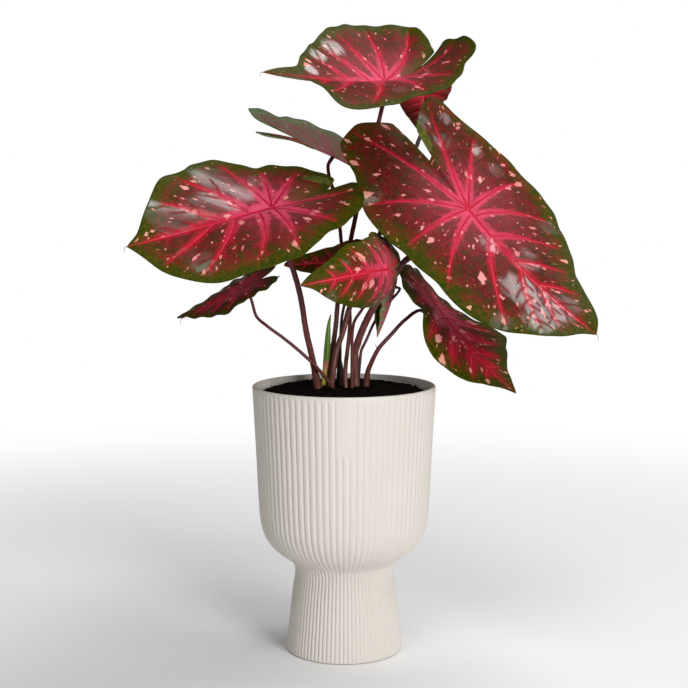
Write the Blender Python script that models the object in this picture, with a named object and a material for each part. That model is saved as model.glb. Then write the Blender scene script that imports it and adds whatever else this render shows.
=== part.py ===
"""A caladium in a ribbed pedestal pot, at its real size, in metres with +Z up.

The origin is the centre of the pot's underside and the front of the plant faces -Y.
Sizes are written in millimetres, and MM turns them into metres where a mesh is made.
"""
import math
from collections import namedtuple

import bpy
import bmesh
from mathutils import Matrix, Vector

MM = 0.001
GAP = 0.3

# Pot: one ribbed shell on a flared foot, with a plain band at the front under the lip
POT_WALL = 3.2
POT_FLOOR = 4.0
RIB_COUNT = 84
RIB_DEPTH = 0.9
BAND_RIBS = 3
BAND_FOOT = 155.0
FRONT = math.radians(-89)
# Height and outer radius over the ribs, from the foot up to the lip
POT_OUTLINE = (
    (1.8, 44.4), (19, 42.5), (47.5, 39.3), (61.7, 37.4), (68.5, 39.6), (73.5, 46.4),
    (80.6, 54.9), (90, 61.0), (99, 63.6), (112, 64.9), (150, 66.7), (160, 67.2), (201.2, 69.4),
)
# Height and radius of the round foot edge and of the round lip, both without ribs
FOOT_EDGE = (0, 43.2)
LIP_OUTLINE = ((203.3, 69.0), (204.0, 67.8))
# Heights at which the inner wall follows the outer one, from the top down
INNER_HEIGHTS = (203.0, 150.0, 99.0, 78.0, 71.0, 61.7, 19.0, POT_FLOOR)

# Soil: fills the pot to just under the lip and rises a little round the crown
SOIL_EDGE = 199.5
SOIL_MOUND = 2.5
SOIL_COLUMNS = 42
SOIL_RINGS = (0.25, 0.5, 0.75, 1.0)
SOIL_LUMP = 0.6
SOIL_LUMPS_ROUND = (5, 3)
SOIL_LUMPS_ACROSS = (7, -9)

# Tuber: the knobbly crown in which the stalks, the spear and the sheath stand
TUBER_CENTRE = (-2.0, 4.0, 190.0)
TUBER_RADII = (26.0, 20.0, 10.0)
TUBER_LUMP = 0.6
TUBER_LUMPS_ROUND = 5
TUBER_LUMPS_UP = 4
TUBER_FULLNESS = 0.6
TUBER_COLUMNS = 24
TUBER_ROWS = 8
PIT_TOP = 210.0

# Blades: a thin sheet each, drawn on spokes from the joint with its stalk
BLADE_THICKNESS = 0.8
BLADE_RINGS = (0.22, 0.5, 0.8, 1.0)
SPOKE_ANGLES = (0, 4, 10, 20, 35, 50, 65, 80, 95, 110, 125, 140, 152, 162, 169, 175, 179.3, 180)
VEIN_SPACING = math.radians(40)
QUILT_HEIGHT = 1.2
QUILT_START = 0.3
LOBE_SHARE = 0.6
WAVES_ROUND = 3
NORMAL_STEP = 0.5
LEAST_TURN = 1e-6
# Angles from the midrib at which a blade's edge is given, as a share of its length
EDGE_ANGLES = (0, 4, 10, 20, 35, 55, 80, 105, 130, 148, 160, 169, 175, 179.3, 180)
PLAIN_EDGE = (1, 0.93, 0.83, 0.71, 0.61, 0.54, 0.51, 0.52, 0.58, 0.64, 0.63, 0.52, 0.32, 0.2, 0.12)
SMALL_EDGE = (1, 0.9, 0.8, 0.69, 0.58, 0.5, 0.46, 0.44, 0.44, 0.42, 0.38, 0.3, 0.2, 0.15, 0.12)

# Stalks: round and tapering, sunk into the tuber and seated under their blades
STALK_SIDES = 8
STALK_STEP = 10.0
STALK_SEAT = BLADE_THICKNESS + 0.5
STALK_NECK = 0.6
NECK_START = 0.96
HOLE_TOP = 203.0
HOLE_PLAY = 0.4

# A leaf: its blade in degrees and millimetres, pairs being its left and right sides, and its
# stalk as a route from the foot up, with the radii at its foot and top
Leaf = namedtuple("Leaf", (
    "name joint length yaw dip roll width lobe_length folds curls droop lobe_droops twist "
    "wave wave_phase sway lobe_sway left_edge right_edge colour approach route foot_radius top_radius"
))

LEAVES = (
    Leaf(
        "top", joint=(31, 40, 434), length=121, yaw=214, dip=7, roll=-11,
        width=1.12, lobe_length=1.02, folds=(13, 24), curls=(27, -8),
        droop=-16, lobe_droops=(-39, -40), twist=-11, wave=-1.6, wave_phase=-52, sway=4, lobe_sway=35,
        left_edge=(0.94, 0.7, 0.69, 0.73, 0.86, 0.64, 0.5, 0.5, 0.53, 0.67, 0.66, 0.61, 0.6, 0.58, 0.22),
        right_edge=(0.94, 0.81, 0.63, 0.58, 0.52, 0.49, 0.53, 0.56, 0.58, 0.62, 0.63, 0.57, 0.51, 0.48, 0.22),
        colour=(0.42, 0.05, 0.08), approach=9, foot_radius=1.9, top_radius=1.7,
        route=(
            (-12, 10, 193), (-10, 12, 224), (-8, 13, 235), (-6, 14, 250), (-5, 15, 263),
            (5, 22, 312), (12, 30, 345), (19, 39, 376), (24, 54, 394), (28, 58, 407),
        ),
    ),
    Leaf(
        "left", joint=(-52, -38, 338), length=115, yaw=209, dip=14, roll=-23,
        width=1.04, lobe_length=0.87, folds=(9, 13), curls=(32, 8),
        droop=-2, lobe_droops=(3, 6), twist=-21, wave=1.6, wave_phase=-144, sway=-1, lobe_sway=10,
        left_edge=(0.99, 0.97, 0.94, 0.89, 0.77, 0.59, 0.52, 0.47, 0.55, 0.64, 0.67, 0.69, 0.7, 0.69, 0.24),
        right_edge=(0.99, 0.9, 0.84, 0.77, 0.71, 0.6, 0.59, 0.47, 0.57, 0.63, 0.64, 0.64, 0.55, 0.45, 0.24),
        colour=(0.44, 0.06, 0.09), approach=9, foot_radius=2.4, top_radius=1.9,
        route=(
            (-18, -6, 193), (-21, -9, 211), (-24, -13, 227), (-28, -19, 246), (-32, -26, 273),
            (-38, -33, 296), (-46, -36, 320),
        ),
    ),
    Leaf(
        "right", joint=(94, 8, 336), length=143, yaw=-36, dip=47, roll=19,
        width=1.1, lobe_length=1.21, folds=(7, 6), curls=(22, 29),
        droop=-19, lobe_droops=(-7, 11), twist=3, wave=1.2, wave_phase=19, sway=-1, lobe_sway=-20,
        left_edge=(1, 0.94, 0.81, 0.65, 0.57, 0.51, 0.52, 0.5, 0.49, 0.51, 0.61, 0.59, 0.54, 0.48, 0.28),
        right_edge=(1, 0.96, 0.93, 0.85, 0.72, 0.53, 0.48, 0.53, 0.58, 0.72, 0.66, 0.6, 0.56, 0.53, 0.28),
        colour=(0.40, 0.06, 0.08), approach=9, foot_radius=3.0, top_radius=2.0,
        route=(
            (9, 1, 193), (8, 0, 226), (11, -2, 238), (16, -4, 251), (22, -7, 263),
            (30, -7, 275), (37, -9, 286), (44, -12, 297), (60, -6, 308),
        ),
    ),
    Leaf(
        "pale", joint=(-9, 104, 378), length=116, yaw=-19, dip=23, roll=-18,
        width=0.99, lobe_length=1.06, folds=(25, 8), curls=(26, 8),
        droop=30, lobe_droops=(20, 2), twist=-3, wave=1.4, wave_phase=-63, sway=0, lobe_sway=12,
        left_edge=(1, 0.93, 0.83, 0.71, 0.61, 0.54, 0.5, 0.53, 0.57, 0.73, 0.65, 0.58, 0.54, 0.5, 0.15),
        right_edge=(1, 0.93, 0.83, 0.71, 0.61, 0.54, 0.5, 0.53, 0.5, 0.6, 0.63, 0.61, 0.59, 0.55, 0.15),
        colour=(0.33, 0.36, 0.26), approach=9, foot_radius=1.6, top_radius=1.4,
        route=(
            (2, -9, 193), (1, -6, 214), (2.5, 0, 229), (4, 7, 241), (4.5, 13, 250),
            (4, 22, 262), (-2, 48, 309), (-5, 70, 338),
        ),
    ),
    Leaf(
        "centre", joint=(32, -46, 294), length=81, yaw=244, dip=0, roll=-72,
        width=0.86, lobe_length=0.81, folds=(-15, 0), curls=(62, 34),
        droop=56, lobe_droops=(52, 21), twist=1, wave=2.6, wave_phase=-110, sway=-4, lobe_sway=-4,
        left_edge=(1, 0.9, 0.83, 0.74, 0.63, 0.54, 0.48, 0.5, 0.52, 0.58, 0.58, 0.5, 0.34, 0.24, 0.15),
        right_edge=(1, 0.93, 0.81, 0.67, 0.57, 0.43, 0.4, 0.48, 0.56, 0.6, 0.58, 0.47, 0.34, 0.24, 0.15),
        colour=(0.38, 0.06, 0.08), approach=5, foot_radius=1.2, top_radius=1.1,
        route=(
            (6, -8, 193), (6, -10, 220), (6, -12, 238), (7, -15, 251), (13.5, -20, 263),
            (22, -28, 276),
        ),
    ),
    Leaf(
        "low_left", joint=(-73, -24, 279), length=58, yaw=183, dip=29, roll=-6,
        width=1.02, lobe_length=0.8, folds=(5, 9), curls=(27, 5),
        droop=-6, lobe_droops=(17, 3), twist=-4, wave=0.9, wave_phase=113, sway=1, lobe_sway=1,
        left_edge=(0.87, 0.84, 0.8, 0.76, 0.67, 0.62, 0.5, 0.52, 0.62, 0.64, 0.63, 0.52, 0.32, 0.2, 0.12),
        right_edge=(0.87, 0.95, 0.81, 0.64, 0.56, 0.5, 0.54, 0.52, 0.58, 0.64, 0.63, 0.52, 0.32, 0.2, 0.12),
        colour=(0.30, 0.08, 0.07), approach=9, foot_radius=1.3, top_radius=1.1,
        route=(
            (-6, -7, 193), (-9, -9, 204), (-14, -13, 211), (-20, -17, 219), (-31, -20, 230),
            (-44, -21, 241), (-56, -22, 250), (-65, -20, 258),
        ),
    ),
    Leaf(
        "low_right", joint=(72, 22, 261), length=93, yaw=-37, dip=48, roll=-12,
        width=1.04, lobe_length=0.8, folds=(-8, 9), curls=(-14, 25),
        droop=-17, lobe_droops=(-2, -7), twist=26, wave=5.1, wave_phase=-31, sway=-4, lobe_sway=-4,
        left_edge=(1, 0.9, 0.8, 0.73, 0.68, 0.69, 0.57, 0.53, 0.58, 0.68, 0.63, 0.56, 0.5, 0.3, 0.13),
        right_edge=(1, 0.91, 0.85, 0.8, 0.74, 0.66, 0.42, 0.52, 0.55, 0.57, 0.53, 0.52, 0.48, 0.3, 0.13),
        colour=(0.34, 0.06, 0.07), approach=9, foot_radius=1.7, top_radius=1.2,
        route=(
            (16, 5, 193), (18, 3, 213), (21, 2, 221), (26, 1, 231), (35, 3, 241),
            (46, 9, 252), (58, 17, 259),
        ),
    ),
    Leaf(
        "back_centre", joint=(7, 0, 297), length=57, yaw=178, dip=2, roll=-62,
        width=0.72, lobe_length=0.6, folds=(6, 10), curls=(20, 16),
        droop=8, lobe_droops=(3, 4), twist=-4, wave=0.1, wave_phase=-11, sway=-1, lobe_sway=-1,
        left_edge=(0.93, 0.85, 0.74, 0.58, 0.46, 0.4, 0.38, 0.4, 0.45, 0.5, 0.5, 0.42, 0.28, 0.2, 0.12),
        right_edge=(0.93, 0.9, 0.76, 0.61, 0.48, 0.4, 0.42, 0.46, 0.52, 0.58, 0.58, 0.48, 0.3, 0.2, 0.12),
        colour=(0.26, 0.05, 0.06), approach=5, foot_radius=1.2, top_radius=1.1,
        route=((-3, 15, 193), (-3, 16, 225), (-2, 14, 250), (2, 6, 272)),
    ),
    Leaf(
        "hanging", joint=(39, 17, 277), length=42, yaw=215, dip=72, roll=0,
        width=0.8, lobe_length=0.8, folds=(70, 72), curls=(10, 12),
        droop=-12, lobe_droops=(20, 20), twist=0, wave=0, wave_phase=0, sway=0, lobe_sway=0,
        left_edge=SMALL_EDGE, right_edge=SMALL_EDGE,
        colour=(0.16, 0.05, 0.05), approach=5, foot_radius=1.2, top_radius=1.0,
        route=(
            (10, 14, 193), (12, 14, 218), (13, 15, 227), (17, 16, 236), (24, 18, 251),
            (34, 22, 264),
        ),
    ),
    Leaf(
        "back_top", joint=(66, 104, 430), length=43, yaw=-103, dip=46, roll=4,
        width=1.02, lobe_length=0.7, folds=(12, 11), curls=(16, 18),
        droop=5, lobe_droops=(1, 1), twist=2, wave=0.4, wave_phase=-22, sway=0, lobe_sway=0,
        left_edge=PLAIN_EDGE, right_edge=PLAIN_EDGE,
        colour=(0.45, 0.04, 0.07), approach=9, foot_radius=2.2, top_radius=1.6,
        route=(
            (-11, 0, 193), (-8, 1, 216), (-6, 3, 228), (-1, 6, 243), (4, 10, 261),
            (14, 19, 285), (28, 33, 318), (46, 46, 358), (58, 84, 385), (67, 112, 410),
        ),
    ),
)

# Spear: the youngest leaf, still rolled, as a route with a radius at each point
SPEAR_ROUTE = (
    (-16, 7, 193), (-14.5, 7, 210), (-13, 5.5, 229), (-12.3, 4.5, 240), (-11.6, 4, 249),
    (-10, 4, 257),
)
SPEAR_RADII = ((0, 2.0), (0.25, 2.3), (0.55, 2.5), (0.72, 2.2), (0.86, 1.5), (1, 0.4))

# Sheath: the dried, pointed foot of an old leaf, standing among the stalks
SHEATH_ROUTE = ((-3, 9.5, 193), (-3, 9.5, 208), (-3.4, 9.3, 218), (-4, 9, 228))
SHEATH_RADII = ((0, 2.8), (0.4, 3.0), (0.7, 2.2), (1, 0.5))

# Colours as linear red, green and blue, with roughness
POT_FINISH = ((0.66, 0.63, 0.58), 0.55)
SOIL_FINISH = ((0.012, 0.010, 0.009), 0.95)
TUBER_FINISH = ((0.07, 0.035, 0.02), 0.85)
STALK_FINISH = ((0.14, 0.035, 0.035), 0.5)
SPEAR_FINISH = ((0.10, 0.16, 0.02), 0.45)
SHEATH_FINISH = ((0.035, 0.015, 0.012), 0.8)
BLADE_ROUGHNESS = 0.45


def clear_scene():
    """Remove every object that the scene starts with."""
    for thing in list(bpy.data.objects):
        bpy.data.objects.remove(thing, do_unlink=True)


def make_material(name, colour, roughness):
    """Return a plain Principled material."""
    material = bpy.data.materials.new(name)
    material.use_nodes = True
    shader = material.node_tree.nodes["Principled BSDF"]
    shader.inputs["Base Color"].default_value = (*colour, 1.0)
    shader.inputs["Roughness"].default_value = roughness
    shader.inputs["Metallic"].default_value = 0.0
    return material


def add_object(name, mesh_data, finish, smooth_angle=40):
    """Put a bmesh into the scene as one named object with its own material."""
    bmesh.ops.recalc_face_normals(mesh_data, faces=mesh_data.faces)
    mesh = bpy.data.meshes.new(name)
    mesh_data.to_mesh(mesh)
    mesh_data.free()
    mesh.shade_smooth()
    mesh.set_sharp_from_angle(angle=math.radians(smooth_angle))
    mesh.materials.append(make_material(name, *finish))
    thing = bpy.data.objects.new(name, mesh)
    bpy.context.collection.objects.link(thing)
    return thing


def smooth_reader(knots):
    """Return a function that reads a smooth curve through (x, y) knots without overshoot."""
    xs = [x for x, _ in knots]
    ys = [y for _, y in knots]
    steps = [b - a for a, b in zip(xs, xs[1:])]
    slopes = [(b - a) / step for a, b, step in zip(ys, ys[1:], steps)]
    tangents = [slopes[0]]
    for left, right in zip(slopes, slopes[1:]):
        tangents.append(2 * left * right / (left + right) if left * right > 0 else 0.0)
    tangents.append(slopes[-1])

    def read(x):
        index = 0
        while index < len(steps) - 1 and x > xs[index + 1]:
            index += 1
        step = steps[index]
        t = min(max((x - xs[index]) / step, 0.0), 1.0)
        rise = (3 - 2 * t) * t * t
        start = t * (1 - t) ** 2 * step * tangents[index]
        end = t * t * (1 - t) * step * tangents[index + 1]
        return ys[index] * (1 - rise) + ys[index + 1] * rise + start - end

    return read


def add_ring(mesh_data, radius, height, count):
    """Add one level ring of points round the pot's axis, sizes in millimetres."""
    ring = []
    for index in range(count):
        angle = FRONT + 2 * math.pi * index / count
        reach = radius(index) if callable(radius) else radius
        place = Vector((reach * math.cos(angle), reach * math.sin(angle), height))
        ring.append(mesh_data.verts.new(place * MM))
    return ring


def bridge(mesh_data, lower, upper):
    """Join two rings of equal length with four-sided faces."""
    count = len(lower)
    for index in range(count):
        after = (index + 1) % count
        mesh_data.faces.new((lower[index], lower[after], upper[after], upper[index]))


def bridge_half(mesh_data, lower, upper):
    """Join a ring to one that has half as many points."""
    for index in range(len(upper)):
        first = lower[2 * index]
        middle = lower[2 * index + 1]
        last = lower[(2 * index + 2) % len(lower)]
        after = upper[(index + 1) % len(upper)]
        mesh_data.faces.new((first, middle, upper[index]))
        mesh_data.faces.new((middle, after, upper[index]))
        mesh_data.faces.new((middle, last, after))


def inner_outline():
    """Return the height and radius of the pot's inner wall, from the top down."""
    outer = smooth_reader(POT_OUTLINE)
    return [(height, outer(height) - POT_WALL) for height in INNER_HEIGHTS]


def ribbed_radius(radius, height):
    """Return a rule that gives a ring its ribs, with valleys on the odd points."""
    def rule(index):
        from_front = min(index, 2 * RIB_COUNT - index)
        in_band = height > BAND_FOOT and from_front < BAND_RIBS
        return radius - (RIB_DEPTH if index % 2 and not in_band else 0.0)

    return rule


def build_pot():
    """Build the pot as one shell: underside, ribbed outside, lip, inner wall and floor."""
    pot = bmesh.new()
    columns = 2 * RIB_COUNT
    foot_height, foot_radius = FOOT_EDGE
    rings = [add_ring(pot, foot_radius, foot_height, columns)]
    for height, radius in POT_OUTLINE:
        rings.append(add_ring(pot, ribbed_radius(radius, height), height, columns))
    for height, radius in LIP_OUTLINE:
        rings.append(add_ring(pot, radius, height, columns))
    for lower, upper in zip(rings, rings[1:]):
        bridge(pot, lower, upper)
    pot.faces.new(reversed(rings[0]))
    inner = [add_ring(pot, radius, height, RIB_COUNT) for height, radius in inner_outline()]
    bridge_half(pot, rings[-1], inner[0])
    for lower, upper in zip(inner, inner[1:]):
        bridge(pot, lower, upper)
    pot.faces.new(inner[-1])
    return add_object("pot", pot, POT_FINISH)


def soil_height(share, angle):
    """Return the soil's height at a share of its radius: a low mound with small lumps."""
    first = SOIL_LUMPS_ROUND[0] * angle + SOIL_LUMPS_ACROSS[0] * share
    second = SOIL_LUMPS_ROUND[1] * angle + SOIL_LUMPS_ACROSS[1] * share
    lump = SOIL_LUMP * math.sin(first) * math.cos(second) * (1 - share ** 4)
    return SOIL_EDGE + SOIL_MOUND * (1 - share * share) + lump


def build_soil():
    """Build the soil, which fills the pot down to its floor, with the tuber's pit cut out."""
    soil = bmesh.new()
    wall = [(height, radius - GAP) for height, radius in inner_outline() if height < SOIL_EDGE]
    floor_height, floor_radius = wall[-1]
    wall[-1] = (floor_height + GAP, floor_radius)
    top_radius = smooth_reader(POT_OUTLINE)(SOIL_EDGE) - POT_WALL - GAP
    rings = [add_ring(soil, radius, height, SOIL_COLUMNS) for height, radius in reversed(wall)]
    for share in reversed(SOIL_RINGS):
        ring = add_ring(soil, top_radius * share, 0, SOIL_COLUMNS)
        for index, point in enumerate(ring):
            angle = 2 * math.pi * index / SOIL_COLUMNS
            point.co.z = soil_height(share, angle) * MM
        rings.append(ring)
    for lower, upper in zip(rings, rings[1:]):
        bridge(soil, lower, upper)
    soil.faces.new(reversed(rings[0]))
    middle = soil.verts.new(Vector((0, 0, SOIL_EDGE + SOIL_MOUND)) * MM)
    top = rings[-1]
    for index in range(SOIL_COLUMNS):
        soil.faces.new((top[index], top[(index + 1) % SOIL_COLUMNS], middle))
    thing = add_object("soil", soil, SOIL_FINISH)
    cut(thing, build_pit())
    return thing


def tuber_point(turn, rise, grow):
    """Return a point of the tuber's knobbly skin, grown outwards by a few millimetres."""
    flat = max(math.cos(rise), 0.0) ** TUBER_FULLNESS if abs(rise) < math.pi / 2 else 0.0
    lump = TUBER_LUMP * math.sin(TUBER_LUMPS_ROUND * turn) * math.cos(TUBER_LUMPS_UP * rise) + grow
    x = (TUBER_RADII[0] + lump) * flat * math.cos(turn)
    y = (TUBER_RADII[1] + lump) * flat * math.sin(turn)
    z = (TUBER_RADII[2] + lump) * math.sin(rise)
    return Vector(TUBER_CENTRE) + Vector((x, y, z))


def tuber_rises(count):
    """Return the angles above level of the tuber's rings, from the lowest one up."""
    return [math.pi * (row / TUBER_ROWS - 0.5) for row in range(1, count + 1)]


def tuber_rings(mesh_data, grow, rises):
    """Add the tuber's level rings of points, from the lowest up."""
    rings = []
    for rise in rises:
        turns = [2 * math.pi * index / TUBER_COLUMNS for index in range(TUBER_COLUMNS)]
        rings.append([mesh_data.verts.new(tuber_point(turn, rise, grow) * MM) for turn in turns])
    return rings


def close_end(mesh_data, ring, point, outwards):
    """Close a ring with a fan of triangles to one point."""
    tip = mesh_data.verts.new(Vector(point) * MM)
    for index in range(len(ring)):
        after = ring[(index + 1) % len(ring)]
        corners = (ring[index], after, tip) if outwards else (after, ring[index], tip)
        mesh_data.faces.new(corners)


def build_pit():
    """Build the cutter of the tuber's pit: the tuber's lower half with an open shaft above."""
    pit = bmesh.new()
    rings = tuber_rings(pit, 2 * GAP, tuber_rises(TUBER_ROWS // 2))
    shaft = [pit.verts.new((point.co.x, point.co.y, PIT_TOP * MM)) for point in rings[-1]]
    rings.append(shaft)
    for lower, upper in zip(rings, rings[1:]):
        bridge(pit, lower, upper)
    close_end(pit, rings[0], tuber_point(0, -math.pi / 2, 2 * GAP), False)
    close_end(pit, shaft, (TUBER_CENTRE[0], TUBER_CENTRE[1], PIT_TOP), True)
    return add_object("pit_cutter", pit, SOIL_FINISH)


def build_tuber(stalks):
    """Build the tuber, with a blind hole for each foot that stands in it."""
    tuber = bmesh.new()
    rings = tuber_rings(tuber, 0.0, tuber_rises(TUBER_ROWS - 1))
    for lower, upper in zip(rings, rings[1:]):
        bridge(tuber, lower, upper)
    close_end(tuber, rings[0], tuber_point(0, -math.pi / 2, 0.0), False)
    close_end(tuber, rings[-1], tuber_point(0, math.pi / 2, 0.0), True)
    thing = add_object("tuber", tuber, TUBER_FINISH)
    for name, route, foot_radius in stalks:
        cut(thing, build_hole(name, route, foot_radius))
    return thing


def cut(thing, cutter):
    """Cut one object with another, which is then hidden as a guide."""
    modifier = thing.modifiers.new("cut_" + cutter.name, "BOOLEAN")
    modifier.operation = "DIFFERENCE"
    modifier.solver = "EXACT"
    modifier.object = cutter
    cutter.hide_render = True
    cutter.display_type = "WIRE"


def read_route(points, share):
    """Read a smooth curve through points, the ends included, at a share of its length."""
    lengths = [0.0]
    for start, end in zip(points, points[1:]):
        lengths.append(lengths[-1] + (end - start).length)
    run = share * lengths[-1]
    return Vector([smooth_reader(list(zip(lengths, line)))(run) for line in zip(*points)])


def route_length(points):
    """Return the length of the straight runs between points."""
    return sum((end - start).length for start, end in zip(points, points[1:]))


def build_tube(name, points, radii, finish):
    """Build a closed round tube along a route, with radii given at shares of its length."""
    tube = bmesh.new()
    count = max(4, round(route_length(points) / STALK_STEP))
    radius = smooth_reader(radii)
    centres = [read_route(points, step / count) for step in range(count + 1)]
    rings = []
    side = Vector((1, 0, 0))
    for step, centre in enumerate(centres):
        before = centres[max(step - 1, 0)]
        after = centres[min(step + 1, count)]
        along = (after - before).normalized()
        side = (side - along * side.dot(along)).normalized()
        across = along.cross(side)
        ring = []
        for index in range(STALK_SIDES):
            turn = 2 * math.pi * index / STALK_SIDES
            offset = side * math.cos(turn) + across * math.sin(turn)
            ring.append(tube.verts.new((centre + offset * radius(step / count)) * MM))
        rings.append(ring)
    for lower, upper in zip(rings, rings[1:]):
        bridge(tube, lower, upper)
    tube.faces.new(reversed(rings[0]))
    tube.faces.new(rings[-1])
    return add_object(name, tube, finish)


def build_hole(name, route, foot_radius):
    """Build the cutter of a blind hole: the foot's own run, wider than the foot all round."""
    start = Vector(route[0])
    above = Vector(route[1])
    along = (above - start).normalized()
    top = start + along * ((HOLE_TOP - start.z) / along.z)
    points = [start - along * GAP, top]
    radius = foot_radius + HOLE_PLAY
    hole = bmesh.new()
    turn = along.to_track_quat("Z", "X").to_matrix().to_4x4()
    place = Matrix.Translation((points[0] + points[1]) / 2 * MM) @ turn
    bmesh.ops.create_cone(
        hole, cap_ends=True, segments=2 * STALK_SIDES, radius1=radius * MM, radius2=radius * MM,
        depth=(points[1] - points[0]).length * MM, matrix=place,
    )
    return add_object("hole_cutter_" + name, hole, TUBER_FINISH)


def blade_axes(leaf):
    """Return a blade's own directions: along its midrib, to its left, and up from its face."""
    yaw = math.radians(leaf.yaw)
    dip = math.radians(leaf.dip)
    roll = math.radians(leaf.roll)
    along = Vector((math.cos(yaw) * math.cos(dip), math.sin(yaw) * math.cos(dip), -math.sin(dip)))
    level_up = (Vector((0, 0, 1)) + along * math.sin(dip)).normalized()
    level_left = level_up.cross(along)
    up = level_up * math.cos(roll) - level_left * math.sin(roll)
    left = level_left * math.cos(roll) + level_up * math.sin(roll)
    return along, left, up


def bend(distance, turn_per_mm, start=0.0):
    """Bend a straight distance into an arc, and return how far it goes across and up."""
    turn = turn_per_mm if abs(turn_per_mm) > LEAST_TURN else LEAST_TURN
    across = (math.sin(start) - math.sin(start - turn * distance)) / turn
    up = (math.cos(start - turn * distance) - math.cos(start)) / turn
    return across, up


def quilt(leaf, forward, sideways):
    """Return how far the blade swells between its radiating veins."""
    reach = math.hypot(forward, sideways) / (leaf.length * QUILT_START)
    swell = math.sin(math.pi * math.atan2(sideways, forward) / VEIN_SPACING) ** 2
    return QUILT_HEIGHT * swell * min(reach, 1.0)


def blade_point(leaf, forward, sideways):
    """Return where a point of the flat blade lies on the shaped one, from the joint."""
    side = 0 if sideways > 0 else 1
    across, up = bend(
        abs(sideways), math.radians(leaf.curls[side]) / (0.5 * leaf.length * leaf.width),
        math.radians(leaf.folds[side]),
    )
    across = math.copysign(across, sideways)
    reach = math.hypot(forward, sideways) / leaf.length
    phase = WAVES_ROUND * math.atan2(sideways, forward) + math.radians(leaf.wave_phase)
    up += leaf.wave * reach * math.sin(phase) + quilt(leaf, forward, sideways)
    droop = leaf.droop if forward >= 0 else leaf.lobe_droops[side] / LOBE_SHARE
    turn = math.radians(droop) / leaf.length
    run, fall = bend(forward, turn)
    twist = math.radians(leaf.twist) * forward / leaf.length
    left = across * math.cos(twist) - up * math.sin(twist)
    rise = across * math.sin(twist) + up * math.cos(twist)
    sway = leaf.sway if forward >= 0 else leaf.lobe_sway
    left += math.radians(sway) * forward * abs(forward) / (2 * leaf.length)
    lean = turn * forward
    return Vector((run + rise * math.sin(lean), left, fall + rise * math.cos(lean)))


def blade_normal(leaf, forward, sideways):
    """Return the direction out of the upper face at a point of the flat blade."""
    here = blade_point(leaf, forward, sideways)
    ahead = blade_point(leaf, forward + NORMAL_STEP, sideways) - here
    left = blade_point(leaf, forward, sideways + NORMAL_STEP) - here
    return ahead.cross(left).normalized()


def flat_point(leaf, reader, angle, share):
    """Return the flat place at an angle from the midrib and a share of the way to the edge."""
    radius = reader(abs(angle)) * share * leaf.length
    turn = math.radians(angle)
    forward = radius * math.cos(turn)
    stretch = leaf.lobe_length if forward < 0 else 1.0
    return forward * stretch, radius * math.sin(turn) * leaf.width


def blade_spokes():
    """Return the spokes' angles once round, from the right lobe to the left one."""
    right = [-angle for angle in reversed(SPOKE_ANGLES[1:-1])]
    return right + list(SPOKE_ANGLES)


def blade_vertices(mesh_data, leaf, depth):
    """Add one face's points at a depth under the upper face: the middle and the rings."""
    along, left, up = blade_axes(leaf)
    left_reader = smooth_reader(list(zip(EDGE_ANGLES, leaf.left_edge)))
    right_reader = smooth_reader(list(zip(EDGE_ANGLES, leaf.right_edge)))

    def add(forward, sideways):
        local = blade_point(leaf, forward, sideways) - blade_normal(leaf, forward, sideways) * depth
        place = Vector(leaf.joint) + along * local.x + left * local.y + up * local.z
        return mesh_data.verts.new(place * MM)

    rings = []
    for share in BLADE_RINGS:
        ring = []
        for angle in blade_spokes():
            reader = left_reader if angle >= 0 else right_reader
            ring.append(add(*flat_point(leaf, reader, angle, share)))
        rings.append(ring)
    return add(0.0, 0.0), rings


def add_sheet(mesh_data, middle, rings, upper_face):
    """Cover one face with triangles, split the same way on both faces."""
    count = len(rings[0])
    for index in range(count):
        after = (index + 1) % count
        triangles = [(middle, rings[0][index], rings[0][after])]
        for inner, outer in zip(rings, rings[1:]):
            triangles.append((inner[index], outer[index], outer[after]))
            triangles.append((inner[index], outer[after], inner[after]))
        for corners in triangles:
            mesh_data.faces.new(corners if upper_face else tuple(reversed(corners)))


def build_blade(leaf):
    """Build a leaf's blade as one thin closed sheet."""
    blade = bmesh.new()
    top_middle, top_rings = blade_vertices(blade, leaf, 0.0)
    low_middle, low_rings = blade_vertices(blade, leaf, BLADE_THICKNESS)
    add_sheet(blade, top_middle, top_rings, True)
    add_sheet(blade, low_middle, low_rings, False)
    count = len(top_rings[0])
    for index in range(count):
        after = (index + 1) % count
        top = top_rings[-1]
        low = low_rings[-1]
        blade.faces.new((low[index], low[after], top[after]))
        blade.faces.new((low[index], top[after], top[index]))
    return add_object("blade_" + leaf.name, blade, (leaf.colour, BLADE_ROUGHNESS), 60)


def stalk_points(leaf):
    """Return a stalk's whole route, which ends square under the joint of its blade."""
    up = blade_axes(leaf)[2]
    joint = Vector(leaf.joint)
    points = [Vector(point) for point in leaf.route]
    return points + [joint - up * leaf.approach, joint - up * STALK_SEAT]


def stalk_radii(leaf):
    """Return a stalk's radii along its length, with a narrow neck under the blade."""
    neck = leaf.top_radius * STALK_NECK
    return ((0, leaf.foot_radius), (NECK_START, leaf.top_radius), (1, neck))


def main():
    """Build the whole plant in its pot."""
    clear_scene()
    build_pot()
    build_soil()
    feet = [
        ("spear", SPEAR_ROUTE, SPEAR_RADII[0][1]),
        ("sheath", SHEATH_ROUTE, SHEATH_RADII[0][1]),
    ]
    for leaf in LEAVES:
        feet.append((leaf.name, leaf.route, leaf.foot_radius))
    build_tuber(feet)
    build_tube("spear", [Vector(point) for point in SPEAR_ROUTE], SPEAR_RADII, SPEAR_FINISH)
    build_tube("sheath", [Vector(point) for point in SHEATH_ROUTE], SHEATH_RADII, SHEATH_FINISH)
    for leaf in LEAVES:
        build_blade(leaf)
        build_tube("stalk_" + leaf.name, stalk_points(leaf), stalk_radii(leaf), STALK_FINISH)


main()
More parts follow.
